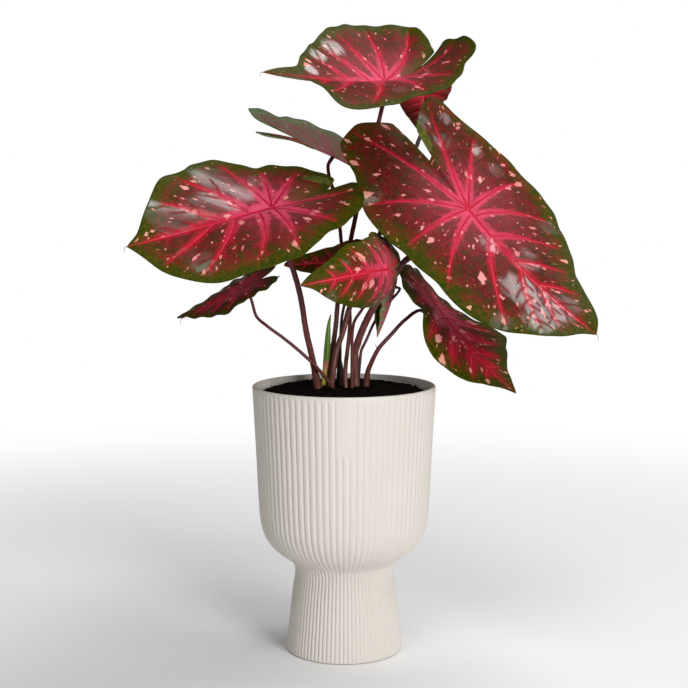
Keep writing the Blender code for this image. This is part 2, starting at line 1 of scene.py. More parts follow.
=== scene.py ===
"""A caladium in its ribbed pedestal pot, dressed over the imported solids.

Sizes are written in millimetres, and MM turns them into metres where a mesh is made.
The plant's front faces -Y, and the pot stands on the floor at the origin.
"""
import math
import random
from collections import namedtuple

import bmesh
import bpy
import numpy as np
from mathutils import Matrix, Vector, noise


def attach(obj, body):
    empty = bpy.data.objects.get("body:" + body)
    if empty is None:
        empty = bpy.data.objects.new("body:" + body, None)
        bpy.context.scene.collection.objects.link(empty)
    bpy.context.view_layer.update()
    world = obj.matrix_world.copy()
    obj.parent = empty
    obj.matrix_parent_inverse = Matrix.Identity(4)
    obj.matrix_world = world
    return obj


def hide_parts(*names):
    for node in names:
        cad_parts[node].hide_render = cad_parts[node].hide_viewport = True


MM = 0.001
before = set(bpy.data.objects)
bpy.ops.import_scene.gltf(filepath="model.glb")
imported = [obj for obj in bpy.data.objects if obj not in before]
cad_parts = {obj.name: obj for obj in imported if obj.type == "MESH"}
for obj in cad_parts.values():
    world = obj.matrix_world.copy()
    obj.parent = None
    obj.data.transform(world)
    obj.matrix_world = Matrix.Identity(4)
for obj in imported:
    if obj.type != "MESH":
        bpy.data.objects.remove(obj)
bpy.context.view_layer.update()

# Camera: aimed a few degrees below level, at the distance and height that match the photograph
CAMERA_PLACE = (0.0, -1.0724, 0.3505)
CAMERA_DROP = 6.15
CAMERA_LENS = 74.67
SENSOR_WIDTH = 36.0
# Distances in metres over which the floor fades into the backdrop
FLOOR_FADE = (0.25, 1.1)

# Lights: name, place, height it looks at, size and power
LIGHTS = (
    ("key", (1.2, -2.1, 0.72), 0.25, 0.8, 39),
    ("left_fill", (-1.6, -1.8, 0.7), 0.25, 1.0, 5),
    ("top", (0.1, -0.9, 1.8), 0.3, 0.8, 9),
    ("above", (0.55, 0.4, 1.65), 0.33, 0.8, 14),
)
ROOM_LIGHT = 0.20

# Pot: height and outer radius over the ribs, from the foot to the rim
POT_OUTLINE = (
    (1.8, 44.4), (19, 42.5), (47.5, 39.3), (61.7, 37.4), (68.5, 39.6), (73.5, 46.4),
    (80.6, 54.9), (90, 61.0), (99, 63.6), (112, 64.9), (150, 66.7), (160, 67.2), (201.2, 69.4),
)
POT_WALL = 3.2
RIB_COUNT = 84
RIB_COLUMNS = 8
RIB_DEPTH = 0.9
RIB_ROUNDNESS = 2.6
BAND_RIBS = 3
BAND_FOOT = 158.0
BAND_FADE = 3.0
FRONT = math.radians(-89)
RIM_TOP = 204.0
RIM_FADE = 1.6
FOOT_ROUND = 1.6
INNER_FOOT = 120.0
INNER_RIB_DEPTH = 0.22

# Soil: crumbs over the packed soil, which lies just under the rim
SOIL_EDGE = 199.5
SOIL_MOUND = 2.5
SOIL_SIDE_FALL = 4.6
SOIL_SKIRT = 9.0
SOIL_RADIUS = 65.4
SOIL_ROWS = 90
SOIL_COLUMNS = 260
# Lumps: size of the pattern, its own layer, and height
SOIL_LUMPS = ((0.16, 0, 0.9), (0.55, 5, 0.8), (1.3, 9, 0.35))
CRUMB_COUNT = 1500
CRUMB_SIZES = (0.5, 1.5)

# Blades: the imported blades' own formula, with finer steps and thinner margins, and with the
# right leaf's lobes a little closer together
BLADE_THICKNESS = 0.8
EDGE_THICKNESS = 0.35
LOBE_SHARE = 0.6
WAVES_ROUND = 3
NORMAL_STEP = 0.5
LEAST_TURN = 1e-6
EDGE_ANGLES = (0, 4, 10, 20, 35, 55, 80, 105, 130, 148, 160, 169, 175, 179.3, 180)
PLAIN_EDGE = (1, 0.93, 0.83, 0.71, 0.61, 0.54, 0.51, 0.52, 0.58, 0.64, 0.63, 0.52, 0.32, 0.2, 0.12)
SMALL_EDGE = (1, 0.9, 0.8, 0.69, 0.58, 0.5, 0.46, 0.44, 0.44, 0.42, 0.38, 0.3, 0.2, 0.15, 0.12)
GRID_STEP = 0.95
INNERMOST_SHARES = (0.02, 0.05)
SWELL_HEIGHT = 1.5
SWELL_REACH = 7.0
SWELL_START = 0.3
RUFFLE_HEIGHT = 0.5
RUFFLE_TURNS = 17
LOBE_BLEND = 20
# Offsets that keep the patterns of two leaves, or of two veins, from being the same
LEAF_OFFSET = 100.0
VEIN_OFFSET = 17.3
FLECK_STRETCH = 0.55

# Veins: side veins as (start along the midrib, end angle, share of the way to the edge)
PLAIN_VEINS = (
    (0, 164, 0.96), (0, 128, 0.9), (0, 92, 0.9), (0.12, 58, 0.92), (0.3, 34, 0.93),
    (0.5, 19, 0.94), (0.68, 10, 0.95),
)
BRANCH_STEP = 9.0
BRANCH_LENGTH = 17.0
BRANCH_ANGLE = math.radians(48)
BRANCH_REACH = 9.0

# Leaf colours, as linear red, green and blue
DEEP_GREEN = (0.016, 0.040, 0.001)
OLIVE_GREEN = (0.075, 0.055, 0.001)
MAROON = (0.125, 0.013, 0.012)
DARK_MAROON = (0.055, 0.007, 0.006)
BROWN_OLIVE = (0.048, 0.032, 0.006)
RED_GRAIN = (0.30, 0.008, 0.018)
CRIMSON = (0.40, 0.008, 0.026)
CENTRE_PINK = (0.66, 0.075, 0.150)
SALMON = (0.62, 0.15, 0.17)
PALE_SALMON = (0.74, 0.28, 0.27)
CREAM = (0.62, 0.42, 0.17)
VEIN_RED = (0.52, 0.010, 0.032)
RIDGE_PINK = (0.66, 0.11, 0.13)
GROOVE_RED = (0.26, 0.003, 0.018)
ROLLED_GREEN = (0.045, 0.065, 0.012)
ROLLED_YELLOW = (0.15, 0.15, 0.025)
BACK_GREEN = (0.10, 0.17, 0.045)
BACK_GREY_GREEN = (0.19, 0.27, 0.11)
BACK_BROWN = (0.26, 0.075, 0.075)
BACK_BLOTCH = (0.42, 0.032, 0.070)
BACK_GLOW = (0.38, 0.050, 0.085)
BACK_FLECK = (0.52, 0.30, 0.27)
BACK_VEIN = (0.42, 0.08, 0.11)

# Stalks and spear
STALK_SIDES = 20
STALK_STEP = 1.6
STALK_BUMPS = 0.08
SHEATH_FOOT = 199
SHEATH_FALL = 11
FLARE_START = 0.97
FLARE = 0.25
HAIR_LENGTH = 4.5
HAIRY_TIPS = ("top", "left", "right", "low_left", "centre")
WISP_ROUTE = ((26.5, 1.4, 229), (25.2, 1.2, 231.2), (23.6, 1.0, 234.6))

Leaf = namedtuple("Leaf", (
    "name joint length yaw dip roll width lobe_length folds curls droop lobe_droops twist "
    "wave wave_phase sway lobe_sway left_edge right_edge left_veins right_veins look approach route "
    "foot_radius top_radius sheath shine turned"
))

# Shine: places on the flat blade that catch the light, as (along, to the left, radius)
# Turned: places, given the same way, where the margin rolls over and shows its pale underside
# Look: width of the crimson along the veins, width of the green margin and how much of it the
# lobes lack, share of flecks, pinkness of the middle, and darkness of the field between the veins
Look = namedtuple("Look", "spread margin lobe_red flecks glow dark")

LEAVES = (
    Leaf(
        "top", joint=(31, 40, 434), length=121, yaw=214, dip=7, roll=-11,
        width=1.12, lobe_length=1.02, folds=(13, 24), curls=(27, -8),
        droop=-16, lobe_droops=(-39, -40), twist=-11, wave=-1.6, wave_phase=-52, sway=4, lobe_sway=35,
        left_edge=(0.94, 0.7, 0.69, 0.73, 0.86, 0.64, 0.5, 0.5, 0.53, 0.67, 0.66, 0.61, 0.6, 0.58, 0.22),
        right_edge=(0.94, 0.81, 0.63, 0.58, 0.52, 0.49, 0.53, 0.56, 0.58, 0.62, 0.63, 0.57, 0.51, 0.48, 0.22),
        left_veins=(
            (0, 165, 0.95), (0, 122, 0.86), (0, 84, 0.85), (0.1, 46, 0.88), (0.3, 27, 0.9), (0.5, 14, 0.9),
        ),
        right_veins=((0, -155, 0.96), (0, -120, 0.9), (0, -84, 0.9), (0.12, -50, 0.9), (0.3, -30, 0.9)),
        look=Look(spread=1.5, margin=8, lobe_red=0, flecks=0.4, glow=0.9, dark=0.35),
        approach=9, foot_radius=1.9, top_radius=1.7, sheath=0.25,
        shine=((23, -44, 11), (45, -32, 8), (63, -11, 6), (23, 50, 7)),
        turned=(),
        route=(
            (-12, 10, 193), (-10, 12, 224), (-8, 13, 235), (-6, 14, 250), (-5, 15, 263),
            (5, 22, 312), (12, 30, 345), (19, 39, 376), (24, 54, 394), (28, 58, 407),
        ),
    ),
    Leaf(
        "left", joint=(-52, -38, 338), length=115, yaw=209, dip=14, roll=-23,
        width=1.04, lobe_length=0.87, folds=(9, 13), curls=(32, 8),
        droop=-2, lobe_droops=(3, 6), twist=-21, wave=1.6, wave_phase=-144, sway=-1, lobe_sway=10,
        left_edge=(0.99, 0.97, 0.94, 0.89, 0.77, 0.59, 0.52, 0.47, 0.55, 0.64, 0.67, 0.69, 0.7, 0.69, 0.24),
        right_edge=(0.99, 0.9, 0.84, 0.77, 0.71, 0.6, 0.59, 0.47, 0.57, 0.63, 0.64, 0.64, 0.55, 0.45, 0.24),
        left_veins=(
            (0, 167, 0.95), (0, 126, 0.85), (0, 81, 0.88), (0.1, 52, 0.9), (0.26, 29, 0.93), (0.42, 14, 0.95),
        ),
        right_veins=((0, -144, 0.8), (0, -112, 0.92), (0, -80, 0.92), (0.16, -42, 0.93), (0.36, -20, 0.93)),
        look=Look(spread=1.6, margin=11, lobe_red=0, flecks=0.5, glow=1.0, dark=0.45),
        approach=9, foot_radius=2.4, top_radius=1.9, sheath=0.45,
        shine=(
            (25, -44, 17), (14, -23, 12), (32, -15, 12), (52, -16, 12), (76, -8, 14), (85, -24, 9),
            (-7, -34, 8), (72, 35, 10), (80, 22, 7),
        ),
        turned=((-45, -24, 4), (-49, -19, 5), (-53, -15, 5), (-56, -8, 3)),
        route=(
            (-18, -6, 193), (-21, -9, 211), (-24, -13, 227), (-28, -19, 246), (-32, -26, 273),
            (-38, -33, 296), (-46, -36, 320),
        ),
    ),
    Leaf(
        "right", joint=(94, 8, 336), length=143, yaw=-36, dip=47, roll=19,
        width=1.1, lobe_length=1.21, folds=(7, 6), curls=(22, 29),
        droop=-19, lobe_droops=(-7, 11), twist=3, wave=1.2, wave_phase=19, sway=-1, lobe_sway=-6,
        left_edge=(1, 0.94, 0.81, 0.65, 0.57, 0.51, 0.52, 0.505, 0.51, 0.555, 0.625, 0.56, 0.5, 0.44, 0.3),
        right_edge=(1, 0.96, 0.93, 0.85, 0.72, 0.53, 0.48, 0.53, 0.555, 0.665, 0.66, 0.62, 0.595, 0.57, 0.3),
        left_veins=(
            (0, 163, 0.96), (0, 136, 0.86), (0, 98, 0.85), (0.05, 60, 0.88), (0.2, 34, 0.9),
            (0.4, 18, 0.92), (0.58, 10, 0.94),
        ),
        right_veins=(
            (0, -157, 0.96), (0, -114, 0.92), (0, -82, 0.9), (0.03, -48, 0.93), (0.2, -24, 0.95),
            (0.45, -14, 0.95), (0.62, -8, 0.96),
        ),
        look=Look(spread=1.2, margin=12, lobe_red=7, flecks=0.55, glow=0.75, dark=0.75),
        approach=9, foot_radius=3.0, top_radius=2.0, sheath=0.35,
        shine=(
            (34, -7, 9), (76, -19, 13), (90, -12, 13), (110, -4, 15), (59, 8, 11), (37, 56, 10),
            (112, -28, 12), (96, -51, 9), (-55, -59, 11), (-41, -68, 9), (-91, -60, 9), (-83, 11, 8),
            (-62, 17, 9), (-80, 33, 6), (-24, 51, 8), (-46, 45, 7),
        ),
        turned=((-84, 4, 3), (-80, 3, 4), (-76, 3, 4), (-72, 3, 4), (-68, 3, 4), (-64, 3, 4), (-60, 2, 3)),
        route=(
            (9, 1, 193), (8, 0, 226), (11, -2, 238), (16, -4, 251), (22, -7, 263),
            (30, -7, 275), (37, -9, 286), (44, -12, 297), (60, -6, 308),
        ),
    ),
    Leaf(
        "pale", joint=(-9, 104, 378), length=116, yaw=-19, dip=23, roll=-18,
        width=0.99, lobe_length=1.06, folds=(25, 8), curls=(26, 8),
        droop=30, lobe_droops=(20, 2), twist=-3, wave=1.4, wave_phase=-63, sway=0, lobe_sway=12,
        left_edge=(1, 0.93, 0.83, 0.71, 0.61, 0.54, 0.5, 0.53, 0.57, 0.73, 0.65, 0.58, 0.54, 0.5, 0.15),
        right_edge=(1, 0.93, 0.83, 0.71, 0.61, 0.54, 0.5, 0.53, 0.5, 0.6, 0.63, 0.61, 0.59, 0.55, 0.15),
        left_veins=PLAIN_VEINS, right_veins=PLAIN_VEINS,
        look=Look(spread=1.0, margin=9, lobe_red=0, flecks=0.4, glow=0.8, dark=0.5),
        approach=9, foot_radius=1.6, top_radius=1.4, sheath=0.2,
        shine=((-58, -38, 12), (-23, -38, 10), (-58, 48, 8)),
        turned=(),
        route=(
            (2, -9, 193), (1, -6, 214), (2.5, 0, 229), (4, 7, 241), (4.5, 13, 250),
            (4, 22, 262), (-2, 48, 309), (-5, 70, 338),
        ),
    ),
    Leaf(
        "centre", joint=(32, -46, 294), length=81, yaw=244, dip=0, roll=-72,
        width=0.86, lobe_length=0.81, folds=(-15, 0), curls=(62, 34),
        droop=56, lobe_droops=(52, 21), twist=1, wave=2.6, wave_phase=-110, sway=-4, lobe_sway=-4,
        left_edge=(1, 0.9, 0.83, 0.74, 0.63, 0.54, 0.48, 0.5, 0.52, 0.58, 0.58, 0.5, 0.34, 0.24, 0.15),
        right_edge=(1, 0.93, 0.81, 0.67, 0.57, 0.43, 0.4, 0.48, 0.56, 0.6, 0.58, 0.47, 0.34, 0.24, 0.15),
        left_veins=PLAIN_VEINS, right_veins=PLAIN_VEINS,
        look=Look(spread=1.15, margin=13, lobe_red=0, flecks=0.8, glow=0.8, dark=0.9),
        approach=5, foot_radius=1.2, top_radius=1.1, sheath=0.2,
        shine=((43, -9, 5), (59, 13, 6), (24, -7, 6), (-3, -5, 8)),
        turned=((-38, -15, 3), (-34, -8, 4), (-25, -1, 4), (-26, 4, 4), (-29, 9, 4)),
        route=(
            (6, -8, 193), (6, -10, 220), (6, -12, 238), (7, -15, 251), (13.5, -20, 263),
            (22, -28, 276),
        ),
    ),
    Leaf(
        "low_left", joint=(-73, -24, 279), length=58, yaw=183, dip=29, roll=-6,
        width=1.02, lobe_length=0.8, folds=(5, 9), curls=(27, 5),
        droop=-6, lobe_droops=(17, 3), twist=-4, wave=0.9, wave_phase=113, sway=1, lobe_sway=1,
        left_edge=(0.87, 0.84, 0.8, 0.76, 0.67, 0.62, 0.5, 0.52, 0.62, 0.64, 0.63, 0.52, 0.32, 0.2, 0.12),
        right_edge=(0.87, 0.95, 0.81, 0.64, 0.56, 0.5, 0.54, 0.52, 0.58, 0.64, 0.63, 0.52, 0.32, 0.2, 0.12),
        left_veins=PLAIN_VEINS, right_veins=PLAIN_VEINS,
        look=Look(spread=1.8, margin=6, lobe_red=0, flecks=0.6, glow=0.6, dark=0.6),
        approach=9, foot_radius=1.3, top_radius=1.1, sheath=0.3,
        shine=((21, -23, 8), (1, -25, 6), (41, -12, 7)),
        turned=(),
        route=(
            (-6, -7, 193), (-9, -9, 204), (-14, -13, 211), (-20, -17, 219), (-31, -20, 230),
            (-44, -21, 241), (-56, -22, 250), (-65, -20, 258),
        ),
    ),
    Leaf(
        "low_right", joint=(72, 22, 261), length=93, yaw=-37, dip=48, roll=-12,
        width=1.04, lobe_length=0.8, folds=(-8, 9), curls=(-14, 25),
        droop=-17, lobe_droops=(-2, -7), twist=26, wave=5.1, wave_phase=-31, sway=-4, lobe_sway=-4,
        left_edge=(1, 0.9, 0.8, 0.73, 0.68, 0.69, 0.57, 0.53, 0.58, 0.68, 0.63, 0.56, 0.5, 0.3, 0.13),
        right_edge=(1, 0.91, 0.85, 0.8, 0.74, 0.66, 0.42, 0.52, 0.55, 0.57, 0.53, 0.52, 0.48, 0.3, 0.13),
        left_veins=PLAIN_VEINS, right_veins=PLAIN_VEINS,
        # Crimson spread wide and field kept light: the blade's own crimson, brightened as painted light
        # against the shade the right leaf casts on it
        look=Look(spread=2.6, margin=12, lobe_red=0, flecks=0.8, glow=1.0, dark=0.0),
        approach=9, foot_radius=1.7, top_radius=1.2, sheath=0.9,
        shine=((14, -21, 7), (-17, -34, 6)),
        turned=(),
        route=(
            (16, 5, 193), (18, 3, 213), (21, 2, 221), (26, 1, 231), (35, 3, 241),
            (46, 9, 252), (58, 17, 259),
        ),
    ),
    Leaf(
        "back_centre", joint=(7, 0, 297), length=57, yaw=178, dip=2, roll=-62,
        width=0.72, lobe_length=0.6, folds=(6, 10), curls=(20, 16),
        droop=8, lobe_droops=(3, 4), twist=-4, wave=0.1, wave_phase=-11, sway=-1, lobe_sway=-1,
        left_edge=(0.93, 0.85, 0.74, 0.58, 0.46, 0.4, 0.38, 0.4, 0.45, 0.5, 0.5, 0.42, 0.28, 0.2, 0.12),
        right_edge=(0.93, 0.9, 0.76, 0.61, 0.48, 0.4, 0.42, 0.46, 0.52, 0.58, 0.58, 0.48, 0.3, 0.2, 0.12),
        left_veins=PLAIN_VEINS, right_veins=PLAIN_VEINS,
        look=Look(spread=1.2, margin=4, lobe_red=0, flecks=0.2, glow=0.3, dark=0.9),
        approach=5, foot_radius=1.2, top_radius=1.1, sheath=0.2,
        shine=(),
        turned=(),
        route=((-3, 15, 193), (-3, 16, 225), (-2, 14, 250), (2, 6, 272)),
    ),
    Leaf(
        "hanging", joint=(39, 17, 277), length=42, yaw=215, dip=72, roll=0,
        width=0.8, lobe_length=0.8, folds=(70, 72), curls=(10, 12),
        droop=-12, lobe_droops=(20, 20), twist=0, wave=0, wave_phase=0, sway=0, lobe_sway=0,
        left_edge=SMALL_EDGE, right_edge=SMALL_EDGE, left_veins=PLAIN_VEINS, right_veins=PLAIN_VEINS,
        look=Look(spread=0.8, margin=6, lobe_red=0, flecks=0.2, glow=0.2, dark=1.0),
        approach=5, foot_radius=1.2, top_radius=1.0, sheath=0.2,
        shine=(),
        turned=(),
        route=(
            (10, 14, 193), (12, 14, 218), (13, 15, 227), (17, 16, 236), (24, 18, 251),
            (34, 22, 264),
        ),
    ),
    Leaf(
        "back_top", joint=(66, 104, 430), length=43, yaw=-103, dip=46, roll=4,
        width=1.02, lobe_length=0.7, folds=(12, 11), curls=(16, 18),
        droop=5, lobe_droops=(1, 1), twist=2, wave=0.4, wave_phase=-22, sway=0, lobe_sway=0,
        left_edge=PLAIN_EDGE, right_edge=PLAIN_EDGE, left_veins=PLAIN_VEINS, right_veins=PLAIN_VEINS,
        look=Look(spread=9.0, margin=0, lobe_red=14, flecks=0.0, glow=0.1, dark=0.5),
        approach=9, foot_radius=2.2, top_radius=1.6, sheath=0.3,
        shine=(),
        turned=(),
        route=(
            (-11, 0, 193), (-8, 1, 216), (-6, 3, 228), (-1, 6, 243), (4, 10, 261),
            (14, 19, 285), (28, 33, 318), (46, 46, 358), (58, 84, 385), (67, 112, 410),
        ),
    ),
)

SPEAR_ROUTE = (
    (-16, 7, 193), (-14.5, 7, 210), (-13, 5.5, 229), (-12.3, 4.5, 240), (-11.6, 4, 249),
    (-10, 4, 257),
)
SPEAR_RADII = ((0, 2.0), (0.25, 2.3), (0.55, 2.5), (0.72, 2.2), (0.86, 1.5), (1, 0.4))
SHEATH_ROUTE = ((-3, 9.5, 193), (-3, 9.5, 208), (-3.4, 9.3, 218), (-4, 9, 228))
SHEATH_RADII = ((0, 2.8), (0.4, 3.0), (0.7, 2.2), (1, 0.5))


def smooth_reader(knots):
    """Return a function that reads a smooth curve through (x, y) knots without overshoot."""
    xs = np.array([x for x, _ in knots], float)
    ys = np.array([y for _, y in knots], float)
    steps = np.diff(xs)
    slopes = np.diff(ys) / steps
    tangents = np.zeros(len(xs))
    tangents[0] = slopes[0]
    tangents[-1] = slopes[-1]
    for index, (left, right) in enumerate(zip(slopes, slopes[1:])):
        if left * right > 0:
            tangents[index + 1] = 2 * left * right / (left + right)

    def read(x):
        x = np.asarray(x, float)
        index = np.clip(np.searchsorted(xs, x, side="left") - 1, 0, len(steps) - 1)
        step = steps[index]
        t = np.clip((x - xs[index]) / step, 0.0, 1.0)
        rise = (3 - 2 * t) * t * t
        start = t * (1 - t) ** 2 * step * tangents[index]
        end = t * t * (1 - t) * step * tangents[index + 1]
        return ys[index] * (1 - rise) + ys[index + 1] * rise + start - end

    return read


def unit(vector):
    """Return a vector, or each row of an array, at length one."""
    vector = np.asarray(vector, float)
    return vector / np.linalg.norm(vector, axis=-1, keepdims=True)


def new_piece(name, points, faces, node=None, smooth=True):
    """Make a mesh piece from millimetre points, let it ride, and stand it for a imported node."""
    mesh = bpy.data.meshes.new(name)
    mesh.from_pydata((np.asarray(points) * MM).tolist(), [], faces)
    mesh.validate()
    if smooth:
        mesh.shade_smooth()
    piece = bpy.data.objects.new(name, mesh)
    bpy.context.collection.objects.link(piece)
    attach(piece, "root")
    if node:
        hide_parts(node)
    return piece


def set_values(piece, name, values, domain="POINT"):
    """Store one number or one vector for each point or face corner."""
    values = np.asarray(values, np.float32)
    kind = "FLOAT" if values.ndim == 1 else "FLOAT_VECTOR"
    field = piece.data.attributes.new(name, kind, domain)
    field.data.foreach_set("value" if values.ndim == 1 else "vector", values.ravel())


# Shader helpers
class Paint:
    """A material's or group's nodes, with one short call for each kind of node."""

    def __init__(self, tree):
        self.tree = tree

    def node(self, kind, **settings):
        made = self.tree.nodes.new(kind)
        for key, value in settings.items():
            setattr(made, key, value)
        return made

    def feed(self, socket, value):
        if hasattr(value, "is_output"):
            self.tree.links.new(value, socket)
        elif value is not None:
            if isinstance(value, tuple) and len(value) == 3 and socket.type == "RGBA":
                value = (*value, 1.0)
            socket.default_value = value

    def math(self, operation, first, second=None, third=None, clamp=False):
        made = self.node("ShaderNodeMath", operation=operation, use_clamp=clamp)
        for socket, value in zip(made.inputs, (first, second, third)):
            self.feed(socket, value)
        return made.outputs[0]

    def vector(self, operation, first, second=None):
        made = self.node("ShaderNodeVectorMath", operation=operation)
        self.feed(made.inputs[0], first)
        self.feed(made.inputs[1], second)
        return made.outputs["Value" if operation == "LENGTH" else "Vector"]

    def scaled(self, vector, factors):
        return self.vector("MULTIPLY", vector, factors)

    def shift(self, vector, offset):
        return self.vector("ADD", vector, offset)

    def mix(self, factor, first, second, blend="MIX"):
        made = self.node("ShaderNodeMix", data_type="RGBA", blend_type=blend)
        self.feed(made.inputs["Factor"], factor)
        self.feed(made.inputs[6], first)
        self.feed(made.inputs[7], second)
        return made.outputs[2]

    def step(self, value, low, high, out_low=0.0, out_high=1.0):
        made = self.node("ShaderNodeMapRange", interpolation_type="SMOOTHSTEP")
        for index, number in enumerate((value, low, high, out_low, out_high)):
            self.feed(made.inputs[index], number)
        return made.outputs[0]

    def noise(self, vector, scale, detail=2.0, roughness=0.5, distortion=0.0, colour=False):
        made = self.node("ShaderNodeTexNoise")
        self.feed(made.inputs["Vector"], vector)
        self.feed(made.inputs["Scale"], scale)
        self.feed(made.inputs["Detail"], detail)
        self.feed(made.inputs["Roughness"], roughness)
        self.feed(made.inputs["Distortion"], distortion)
        return made.outputs["Color" if colour else "Fac"]

    def cells(self, vector, scale, feature="F1", jitter=1.0):
        made = self.node("ShaderNodeTexVoronoi", feature=feature)
        self.feed(made.inputs["Vector"], vector)
        self.feed(made.inputs["Scale"], scale)
        self.feed(made.inputs["Randomness"], jitter)
        return made

    def attribute(self, name, vector=False):
        made = self.node("ShaderNodeAttribute", attribute_name=name)
        return made.outputs["Vector" if vector else "Fac"]

    def group(self, tree, **values):
        made = self.node("ShaderNodeGroup", node_tree=tree)
        for key, value in values.items():
            self.feed(made.inputs[key.replace("_", " ").title()], value)
        return made

    def bump(self, height, distance, strength=1.0, below=None):
        made = self.node("ShaderNodeBump")
        self.feed(made.inputs["Strength"], strength)
        self.feed(made.inputs["Distance"], distance * MM)
        self.feed(made.inputs["Height"], height)
        if below is not None:
            self.feed(made.inputs["Normal"], below)
        return made.outputs["Normal"]


def new_group(name, inputs, outputs):
    """Start a shader node group with named number, vector or colour sockets."""
    tree = bpy.data.node_groups.new(name, "ShaderNodeTree")
    kinds = {"number": "NodeSocketFloat", "vector": "NodeSocketVector", "colour": "NodeSocketColor"}
    for label, kind in inputs.items():
        tree.interface.new_socket(label, in_out="INPUT", socket_type=kinds[kind])
    for label, kind in outputs.items():
        tree.interface.new_socket(label, in_out="OUTPUT", socket_type=kinds[kind])
    paint = Paint(tree)
    return paint, paint.node("NodeGroupInput").outputs, paint.node("NodeGroupOutput").inputs


def new_material(name):
    """Start a material and return it with its paint helper and its Principled shader."""
    material = bpy.data.materials.new(name)
    material.use_nodes = True
    paint = Paint(material.node_tree)
    return material, paint, material.node_tree.nodes["Principled BSDF"]


def millimetres(paint):
    """Return the object's own coordinates in millimetres."""
    return paint.scaled(paint.node("ShaderNodeTexCoord").outputs["Object"], (1 / MM,) * 3)


def make_line_group():
    """A soft-edged line where a signed distance is smaller than half the line's width."""
    paint, given, out = new_group(
        "thin_line", {"Distance": "number", "Width": "number", "Softness": "number"}, {"Mask": "number"},
    )
    away = paint.math("ABSOLUTE", given["Distance"])
    half = paint.math("MULTIPLY", given["Width"], 0.5)
    outer = paint.math("ADD", half, given["Softness"])
    paint.feed(out["Mask"], paint.step(away, half, outer, 1.0, 0.0))
    return paint.tree


def make_band_group():
    """A band along a line with a torn, fairly sharp edge; tear moves its edge in and out."""
    paint, given, out = new_group(
        "torn_band", {"Distance": "number", "Half": "number", "Tear": "number"}, {"Mask": "number"},
    )
    away = paint.math("ABSOLUTE", given["Distance"])
    moved = paint.math("MULTIPLY", given["Half"], paint.math("MULTIPLY_ADD", given["Tear"], 2.6, -0.3))
    inside = paint.math("SUBTRACT", moved, away)
    paint.feed(out["Mask"], paint.step(inside, -1.0, 1.6))
    return paint.tree


def make_spread_group():
    """A glow that falls away from a line, ragged at its edge."""
    paint, given, out = new_group(
        "spread", {"Distance": "number", "Reach": "number", "Raggedness": "number"}, {"Mask": "number"},
    )
    away = paint.math("ABSOLUTE", given["Distance"])
    ragged = paint.math("MULTIPLY", away, given["Raggedness"])
    share = paint.math("DIVIDE", ragged, paint.math("MAXIMUM", given["Reach"], 0.05))
    fall = paint.math("MULTIPLY", paint.math("POWER", share, 1.9), -1.0)
    paint.feed(out["Mask"], paint.math("EXPONENT", fall))
    return paint.tree


def make_fleck_group():
    """Angular flecks, long along the veins, with a tone that differs from fleck to fleck."""
    paint, given, out = new_group(
        "flecks", {"Vector": "vector", "Amount": "number", "Size": "number"},
        {"Mask": "number", "Tone": "number"},
    )
    wobble = paint.noise(given["Vector"], 0.5, 4.0, 0.75, colour=True)
    offset = paint.scaled(paint.shift(wobble, (-0.5,) * 3), (4.2, 4.2, 0.0))
    spot = paint.cells(paint.shift(given["Vector"], offset), given["Size"])
    spot.distance = "MANHATTAN"
    chance = paint.node("ShaderNodeSeparateColor")
    paint.feed(chance.inputs[0], spot.outputs["Color"])
    chosen = paint.math("LESS_THAN", chance.outputs[0], given["Amount"])
    size = paint.math("MULTIPLY_ADD", chance.outputs[1], 0.30, 0.14)
    inside = paint.step(spot.outputs["Distance"], size, paint.math("ADD", size, 0.04), 1.0, 0.0)
    paint.feed(out["Mask"], paint.math("MULTIPLY", chosen, inside))
    paint.feed(out["Tone"], chance.outputs[2])
    return paint.tree


def make_net_group():
    """The finest veins: a net of slightly raised cells with sunken lines between them."""
    paint, given, out = new_group(
        "vein_net", {"Vector": "vector", "Scale": "number"}, {"Height": "number"},
    )
    wobble = paint.noise(given["Vector"], 0.35, 1.0, colour=True)
    offset = paint.scaled(paint.shift(wobble, (-0.5,) * 3), (1.6, 1.6, 0.0))
    moved = paint.shift(given["Vector"], offset)
    edges = paint.cells(moved, given["Scale"], "DISTANCE_TO_EDGE")
    paint.feed(out["Height"], paint.step(edges.outputs["Distance"], 0.0, 0.35))
    return paint.tree


def make_groups():
    """Build every shared shader group once."""
    return {
        "line": make_line_group(),
        "band": make_band_group(),
        "spread": make_spread_group(),
        "flecks": make_fleck_group(),
        "net": make_net_group(),
    }


def leaf_fields(paint):
    """Return the stored fields of a blade."""
    return {
        "rib": paint.attribute("rib"),
        "rib_width": paint.attribute("rib_width"),
        "branch": paint.attribute("branch"),
        "branch_width": paint.attribute("branch_width"),
        "edge": paint.attribute("edge"),
        "reach": paint.attribute("reach"),
        "flat": paint.attribute("flat", vector=True),
        "along": paint.attribute("along", vector=True),
        "shine": paint.attribute("shine"),
        "turned": paint.attribute("turned"),
    }


def leaf_relief(paint, groups, field, shader, rise):
    """Wire the blade's fine relief: veins, their branches and the net between them."""
    rib = paint.group(groups["line"], distance=field["rib"], width=0.5, softness=1.6)
    branch = paint.group(groups["line"], distance=field["branch"], width=0.15, softness=1.1)
    net = paint.group(groups["net"], vector=field["flat"], scale=0.34)
    rib_height = paint.math("MULTIPLY", rib.outputs[0], paint.math("MULTIPLY", field["rib_width"], 0.5))
    veins = paint.math("MULTIPLY_ADD", branch.outputs[0], 0.22, rib_height)
    height = paint.math("MULTIPLY", veins, rise)
    height = paint.math("MULTIPLY_ADD", net.outputs["Height"], 0.05, height)
    ripple = paint.noise(field["flat"], 0.12, 3.0)
    height = paint.math("MULTIPLY_ADD", ripple, 0.9, height)
    paint.feed(shader.inputs["Normal"], paint.bump(height, 0.5))


